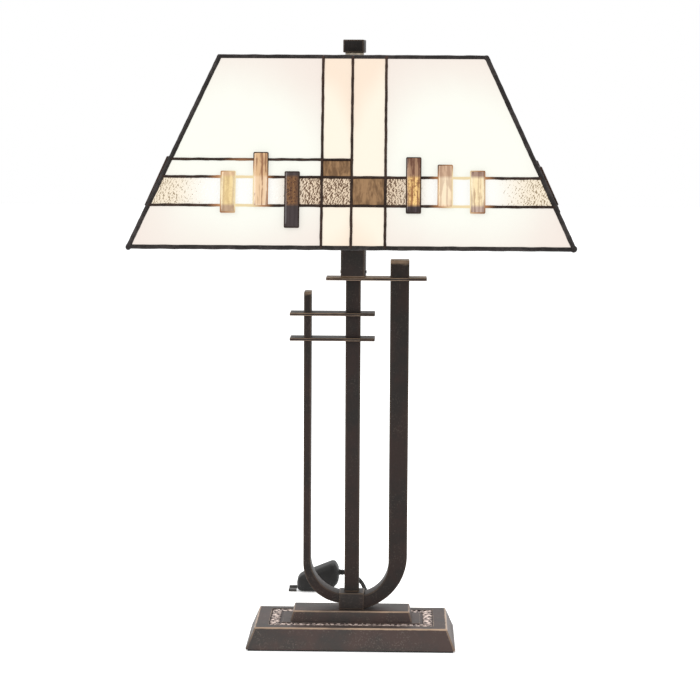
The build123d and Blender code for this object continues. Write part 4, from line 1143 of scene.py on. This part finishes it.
class LAMP_OT_bulbs(LampOperator):
    """Builds the two bulbs with their screw caps"""

    bl_idname = "lamp.bulbs"
    bl_label = "Bulbs"

    def build(self, scene):
        frosted = self.frosted()
        metal = plain("cap_metal", (0.80, 0.80, 0.78), 0.25, 0.95)
        for name, side in (("left", -1), ("right", 1)):
            node = "bulb_cap_" + name
            ends = sorted((abs(low(node)[0]), abs(high(node)[0])))
            x = np.linspace(ends[0] + 3.0, ends[1], 111)
            thread = 12.9 - 0.55 * (0.5 + 0.5 * np.cos(2 * np.pi * (x - ends[0]) / 3.6))
            start = [(0, ends[0]), (4.0, ends[0]), (4.4, ends[0] + 0.6)]
            start += [(9.0, ends[0] + 1.6), (12.0, ends[0] + 2.6)]
            profile = np.concatenate([start, np.stack([thread, x], -1), [(0, ends[1])]])
            profile[:, 1] *= side
            shape = Shape().add(lathe(profile, "X", (0.0, 0.0, BULB_AXIS), 48))
            shape.make("cap_" + name, metal, "bulb_" + name, "cap_metal", [node])
            self.glass(name, side, ends[1], frosted)

    def glass(self, name, side, rim, material):
        """Half outline turned about X: a straight neck that meets the round part where the line from
        its rim touches the circle."""
        neck, radius, reach = 13.2, 30.0, 53.0
        slope = math.atan2(neck, -reach) - math.acos(radius / math.hypot(reach, neck))
        angle = np.linspace(slope, 0, 40)
        round_part = np.stack([radius * np.sin(angle), reach + radius * np.cos(angle)], -1)
        profile = np.concatenate([[(0.0, 0.0), (neck, 0.0)], round_part])
        profile[-1, 0] = 0.0
        profile[:, 1] = side * (rim + profile[:, 1])
        shape = Shape().add(lathe(profile, "X", (0.0, 0.0, BULB_AXIS), 64))
        shape.make("bulb_" + name, material, "bulb_" + name, "bulb_glass", ["bulb_glass_" + name])

    def frosted(self):
        """Frosted glass, lit: a warm white glow with faint clouds."""
        tree = Tree("frosted_bulb")
        cloud = tree.noise(30.0, 2.0)
        glow = tree.blend(cloud, (1.0, 0.93, 0.80), (1.0, 0.96, 0.87))
        return tree.finish(
            Base_Color=(0.97, 0.96, 0.93),
            Roughness=0.3,
            Emission_Color=glow,
            Emission_Strength=0.9,
            Coat_Weight=0.2,
        )


class LAMP_OT_finial(LampOperator):
    """Builds the square finial and its washer"""

    bl_idname = "lamp.finial"
    bl_label = "Finial"

    def build(self, scene):
        settings = scene.lamp_metal
        z0, z1 = low("finial")[2], high("finial")[2]
        shape = rounded_box(Shape(), (-10.5, 10.5), (-10.5, 10.5), (z0, z1), settings.edge_round, -6.0)
        material = patina("finial_patina", settings, 0.12, 0.12, 0.5)
        shape.make("finial_block", material, "finial", "patinated_metal", ["finial"])
        a, b = low("finial_washer"), high("finial_washer")
        profile = [(0, a[2]), (9.1, a[2]), (9.5, a[2] + 0.4), (9.5, b[2] - 0.4), (9.1, b[2]), (0, b[2])]
        washer = Shape().add(lathe(profile))
        pale = plain("washer_metal", (0.62, 0.58, 0.52), 0.35, 0.7)
        washer.make("finial_seat", pale, "finial", "fitting_metal", ["finial_washer"])


class LAMP_OT_shade_lead(LampOperator):
    """Builds the rims, corner strips and lead lines of the shade"""

    bl_idname = "lamp.shade_lead"
    bl_label = "Lead lines"

    def build(self, scene):
        settings = scene.lamp_shade
        material = solder("solder_patina", tuple(settings.solder))
        edge = solder("rim_patina", tuple(settings.rim))
        rise, width, rim = settings.bead_rise, settings.bead_width, settings.rim_width
        bottom, top, corners = Shape(), Shape(), Shape()
        seed = 100
        for members in PANELS.values():
            for panel in members:
                seed += 10
                inset = rim / 2
                ends = (panel.edge(inset) - 0.6, panel.edge(panel.slant - inset) - 0.6)
                bead(bottom, panel, (-ends[0], inset), (ends[0], inset), rim, -4.6, 0.3, seed, 0.05)
                high_v = panel.slant - inset
                bead(top, panel, (-ends[1], high_v), (ends[1], high_v), rim, -4.6, 0.3, seed, 0.05)
                foot_v, top_v = 2.0, panel.slant - 2.0
                foot_u, top_u = panel.edge(foot_v, 2.0), panel.edge(top_v, 2.0)
                for flip, shift in ((1, 3), (-1, 4)):
                    start, end = (flip * foot_u, foot_v), (flip * top_u, top_v)
                    bead(corners, panel, start, end, 4.4, -4.6, 0.5, seed + shift, 0.07)
                blob(bottom, panel, panel.edge(2.2, 2.2), 2.6, 3.6, -5.0, 0.9)
                blob(top, panel, panel.edge(panel.slant - 2.4, 2.2), panel.slant - 2.6, 3.0, -4.6, 0.7)
        bottom.make("rim_lower", edge, "shade", "solder", ["bottom_rim"])
        top.make("rim_upper", edge, "shade", "solder", ["top_rim"])
        corners.make("corner_beads", edge, "shade", "solder", ["corner_cames"])
        for group, members in PANELS.items():
            shape = Shape()
            for panel in members:
                self.lines(shape, panel, width, -4.4 - rise * 0.5, rise, seed)
                seed += 20
            shape.make("lead_" + group, material, "shade", "solder", ["lead_lines_" + group])
        dress(["spider"], plain("spider_metal", (0.32, 0.27, 0.22), 0.4, 0.7))

    def lines(self, shape, panel, width, n_low, n_high, seed):
        """Three columns, two full rows and the short row, with a drop of solder at each crossing."""
        foot, top = 2.5, panel.slant - 2.5
        a, b, c = panel.rows
        x2 = panel.columns[1]
        for index, x in enumerate(panel.columns):
            bead(shape, panel, (x, foot), (x, top), width, n_low, n_high, seed + index)
            for v in (b, c):
                blob(shape, panel, x, v, width * 0.64, n_low, n_high + 0.15)
            blob(shape, panel, x, top, width * 0.75, n_low, n_high + 0.2)
            blob(shape, panel, x, foot, width * 0.7, n_low, n_high + 0.1)
        for index, v in enumerate((b, c)):
            far = panel.edge(v, 2.0)
            bead(shape, panel, (-far, v), (far, v), width, n_low, n_high, seed + 5 + index)
        far = panel.short_side * panel.edge(a, 2.0)
        bead(shape, panel, (far, a), (x2, a), width, n_low, n_high, seed + 8)
        outer = panel.columns[0] if panel.short_side < 0 else panel.columns[2]
        for x in (x2, outer):
            blob(shape, panel, x, a, width * 0.64, n_low, n_high + 0.15)


class LAMP_OT_glass(LampOperator):
    """Finishes the flat glass and builds the hammered band"""

    bl_idname = "lamp.glass"
    bl_label = "Glass"

    def build(self, scene):
        settings = scene.lamp_shade
        opal = milky_glass("opal_glass", tuple(settings.opal), tuple(settings.opal_near), 0.30, 0.85)
        cream = milky_glass("cream_glass", tuple(settings.cream), tuple(settings.cream_near), 0.28, 0.45)
        brown, dark = tuple(settings.streak), tuple(settings.streak_dark)
        streaky = milky_glass("streaky_glass", brown, brown, 0.3, 0.8, dark)
        hammered = hammered_glass("hammered_glass", settings)
        for group, members in PANELS.items():
            dress(["opal_glass_" + group], opal)
            dress(["cream_glass_" + group], cream)
            dress(["streaky_glass_" + group], streaky)
            shape = Shape()
            for index, panel in enumerate(members):
                self.band(shape, panel, settings, 7 + index + 3 * len(members))
            node = "hammered_glass_" + group
            shape.make("hammered_" + group, hammered, "shade", "hammered_glass", [node], 60.0)

    def band(self, shape, panel, settings, seed):
        """The hammered pieces of one panel: each is a sheet between two lead lines, cut at the slanted
        edge. Its outer face is n = face + height of the bumps; its inner face is flat. lean grows towards
        the side of a bump that is turned away from the bulb."""
        _, b, c = panel.rows
        x1, x2, x3 = panel.columns
        far = 9999.0
        near = (x1, x2) if panel.short_side < 0 else (x2, x3)
        for left, right in ((-far, x1), near, (x3, far)):
            v = np.linspace(c, b, 56)[:, None]
            limit = panel.edge(v, 2.5)
            u0, u1 = np.maximum(left, -limit), np.minimum(right, limit)
            count = int(float(u1.mean() - u0.mean()) / 0.5)
            u = u0 + (u1 - u0) * np.linspace(0, 1, count)[None, :]
            v = np.broadcast_to(v, u.shape)
            height, lean = pebbles(u, v, settings.pebble, seed)
            bulb = np.sign(u) * BULB_REACH if panel.long_side else np.zeros_like(u)
            lean = lean * np.sign(u - bulb + 1e-6)
            front = panel.place(u, v, -1.1 + settings.pebble_height * height)
            back = panel.place(u[:, ::-1], v, -3.4)
            points = np.concatenate([front, back], 1)
            shape.add(points, lean=np.concatenate([lean, np.zeros_like(lean)], 1))


# The bar colours are the glass's own colours as they look lit from behind, painted as glow.
# For each raised bar: colours of its top, middle, foot and sides, depth of its streaks, share of flecks.
TONES = (
    ((0.93, 0.79, 0.62), (0.95, 0.84, 0.60), (0.76, 0.64, 0.52), (1.0, 0.96, 0.82), 0.35, 0.15),
    ((0.87, 0.71, 0.53), (0.93, 0.79, 0.63), (0.95, 0.86, 0.77), (0.98, 0.90, 0.80), 0.85, 0.0),
    ((0.27, 0.22, 0.21), (0.52, 0.36, 0.20), (0.23, 0.18, 0.18), (0.30, 0.22, 0.17), 0.5, 1.0),
    ((0.66, 0.51, 0.39), (0.98, 0.81, 0.52), (0.27, 0.21, 0.22), (0.58, 0.40, 0.25), 1.0, 0.7),
    ((0.82, 0.68, 0.56), (0.995, 0.91, 0.78), (0.90, 0.72, 0.56), (0.99, 0.87, 0.70), 0.45, 0.0),
    ((0.66, 0.54, 0.47), (0.99, 0.90, 0.72), (0.77, 0.67, 0.61), (0.99, 0.95, 0.84), 0.6, 0.1),
)


class LAMP_OT_overlay_bars(LampOperator):
    """Builds the raised glass bars with their foil edges"""

    bl_idname = "lamp.overlay_bars"
    bl_label = "Raised bars"

    def build(self, scene):
        glass = bar_glass("bar_glass")
        foil = solder("bar_foil", tuple(scene.lamp_shade.solder))
        for group, members in PANELS.items():
            cores, edges = Shape(), Shape()
            for panel in members:
                for index, bar in enumerate(panel.bars):
                    self.core(cores, panel, bar, index, TONES[index % len(TONES)])
                    self.foil(edges, panel, *bar)
            cores.make("bars_" + group, glass, "shade", "bar_glass", ["overlay_bars_" + group], 50.0)
            edges.make("bar_foil_" + group, foil, "shade", "solder")

    def core(self, shape, panel, bar, index, tones):
        """Slab with a softly crowned face, in rows up the bar. Its colour changes at the lead lines, and
        towards its sides between them: top, middle, foot, side, depth of the streaks, share of flecks."""
        u, v0, v1 = bar
        half = 7.0
        _, b, c = panel.rows
        v = np.unique(np.concatenate([np.linspace(v0, v1, 24), [c - 1.5, c, c + 1.5, b - 1.5, b, b + 1.5]]))
        v = v[(v >= v0) & (v <= v1)][:, None]
        ends = np.clip(np.minimum(v - v0, v1 - v) / 1.2, 0, 1) ** 0.5
        across = np.array([-1.0, -0.96, -0.85, -0.6, -0.3, 0.0, 0.3, 0.6, 0.85, 0.96, 1.0])[None, :]
        crown = 2.2 + 0.75 * (1 - np.abs(across) ** 6) * ends
        front = panel.place(u + half * across, v, crown)
        back = panel.place(u + half * across[:, ::-1], v, np.zeros_like(crown))
        top, middle, foot, side = (np.array([linear(x) for x in tone]) for tone in tones[:4])
        above = np.interp(v, (b - 1.5, b + 1.5), (0, 1))[..., None]
        below = np.interp(v, (c - 1.5, c + 1.5), (1, 0))[..., None]
        sides = (np.abs(across) ** 4)[..., None]
        tone = middle + (side - middle) * sides
        tone = tone + above * (top - tone) + below * (foot - tone)
        within = (1 - above - below)[..., 0] * np.ones_like(across)
        streak = np.stack([np.full_like(within, tones[4]), tones[5] * within, np.zeros_like(within)], -1)
        flat = np.stack([half * across + 0 * v, v + 0 * across, np.full_like(within, 7.3 * index + u)], -1)
        fields = {"tone": tone, "streak": streak, "flat": flat}
        fields = {name: np.concatenate([value, value], 1) for name, value in fields.items()}
        shape.add(np.concatenate([front, back], 1), **fields)

    def foil(self, shape, panel, u, v0, v1):
        """Foil round the bar: a small rounded section carried round its outline."""
        half_v = (v1 - v0) / 2
        outline, _ = rectangle(7.15, half_v, 0.9, 4, 14, 4)
        ring = outline[0]
        step = np.roll(ring, -1, 0) - np.roll(ring, 1, 0)
        out = np.stack([step[:, 1], -step[:, 0]], -1)
        out /= np.linalg.norm(out, axis=1)[:, None]
        angle = np.linspace(0, 2 * np.pi, 12, endpoint=False)
        swell, lift = 0.62 * np.cos(angle) - 0.25, 1.75 * np.sin(angle) + 1.45
        pu = u + ring[:, :1] + out[:, :1] * swell
        pv = (v0 + v1) / 2 + ring[:, 1:] + out[:, 1:] * swell
        shape.add(panel.place(pu, pv, lift), loop=True)


GROUPS = (LampMetal, LampShade, LampCord, LampStage)
OPERATORS = (
    LAMP_OT_stage,
    LAMP_OT_cord,
    LAMP_OT_base,
    LAMP_OT_stem,
    LAMP_OT_fittings,
    LAMP_OT_bulbs,
    LAMP_OT_finial,
    LAMP_OT_shade_lead,
    LAMP_OT_glass,
    LAMP_OT_overlay_bars,
)


class LAMP_PT_panel(bpy.types.Panel):
    """Lists the lamp's pieces in the sidebar"""

    bl_idname = "LAMP_PT_panel"
    bl_label = "Stained Glass Lamp"
    bl_space_type = "VIEW_3D"
    bl_region_type = "UI"
    bl_category = "Lamp"

    def draw(self, context):
        for operator in OPERATORS:
            self.layout.operator(operator.bl_idname)
        for group in ("lamp_metal", "lamp_shade", "lamp_cord", "lamp_stage"):
            box = self.layout.box()
            settings = getattr(context.scene, group)
            for name in settings.bl_rna.properties.keys():
                if name not in {"rna_type", "name"}:
                    box.prop(settings, name)


def register():
    for item in GROUPS + OPERATORS + (LAMP_PT_panel,):
        bpy.utils.register_class(item)
    bpy.types.Scene.lamp_metal = PointerProperty(type=LampMetal)
    bpy.types.Scene.lamp_shade = PointerProperty(type=LampShade)
    bpy.types.Scene.lamp_cord = PointerProperty(type=LampCord)
    bpy.types.Scene.lamp_stage = PointerProperty(type=LampStage)


def unregister():
    for name in ("lamp_stage", "lamp_cord", "lamp_shade", "lamp_metal"):
        delattr(bpy.types.Scene, name)
    for item in reversed(GROUPS + OPERATORS + (LAMP_PT_panel,)):
        bpy.utils.unregister_class(item)


def main():
    """Registers the add-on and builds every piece."""
    register()
    for operator in OPERATORS:
        group, name = operator.bl_idname.split(".")
        getattr(getattr(bpy.ops, group), name)()


if __name__ == "__main__":
    main()
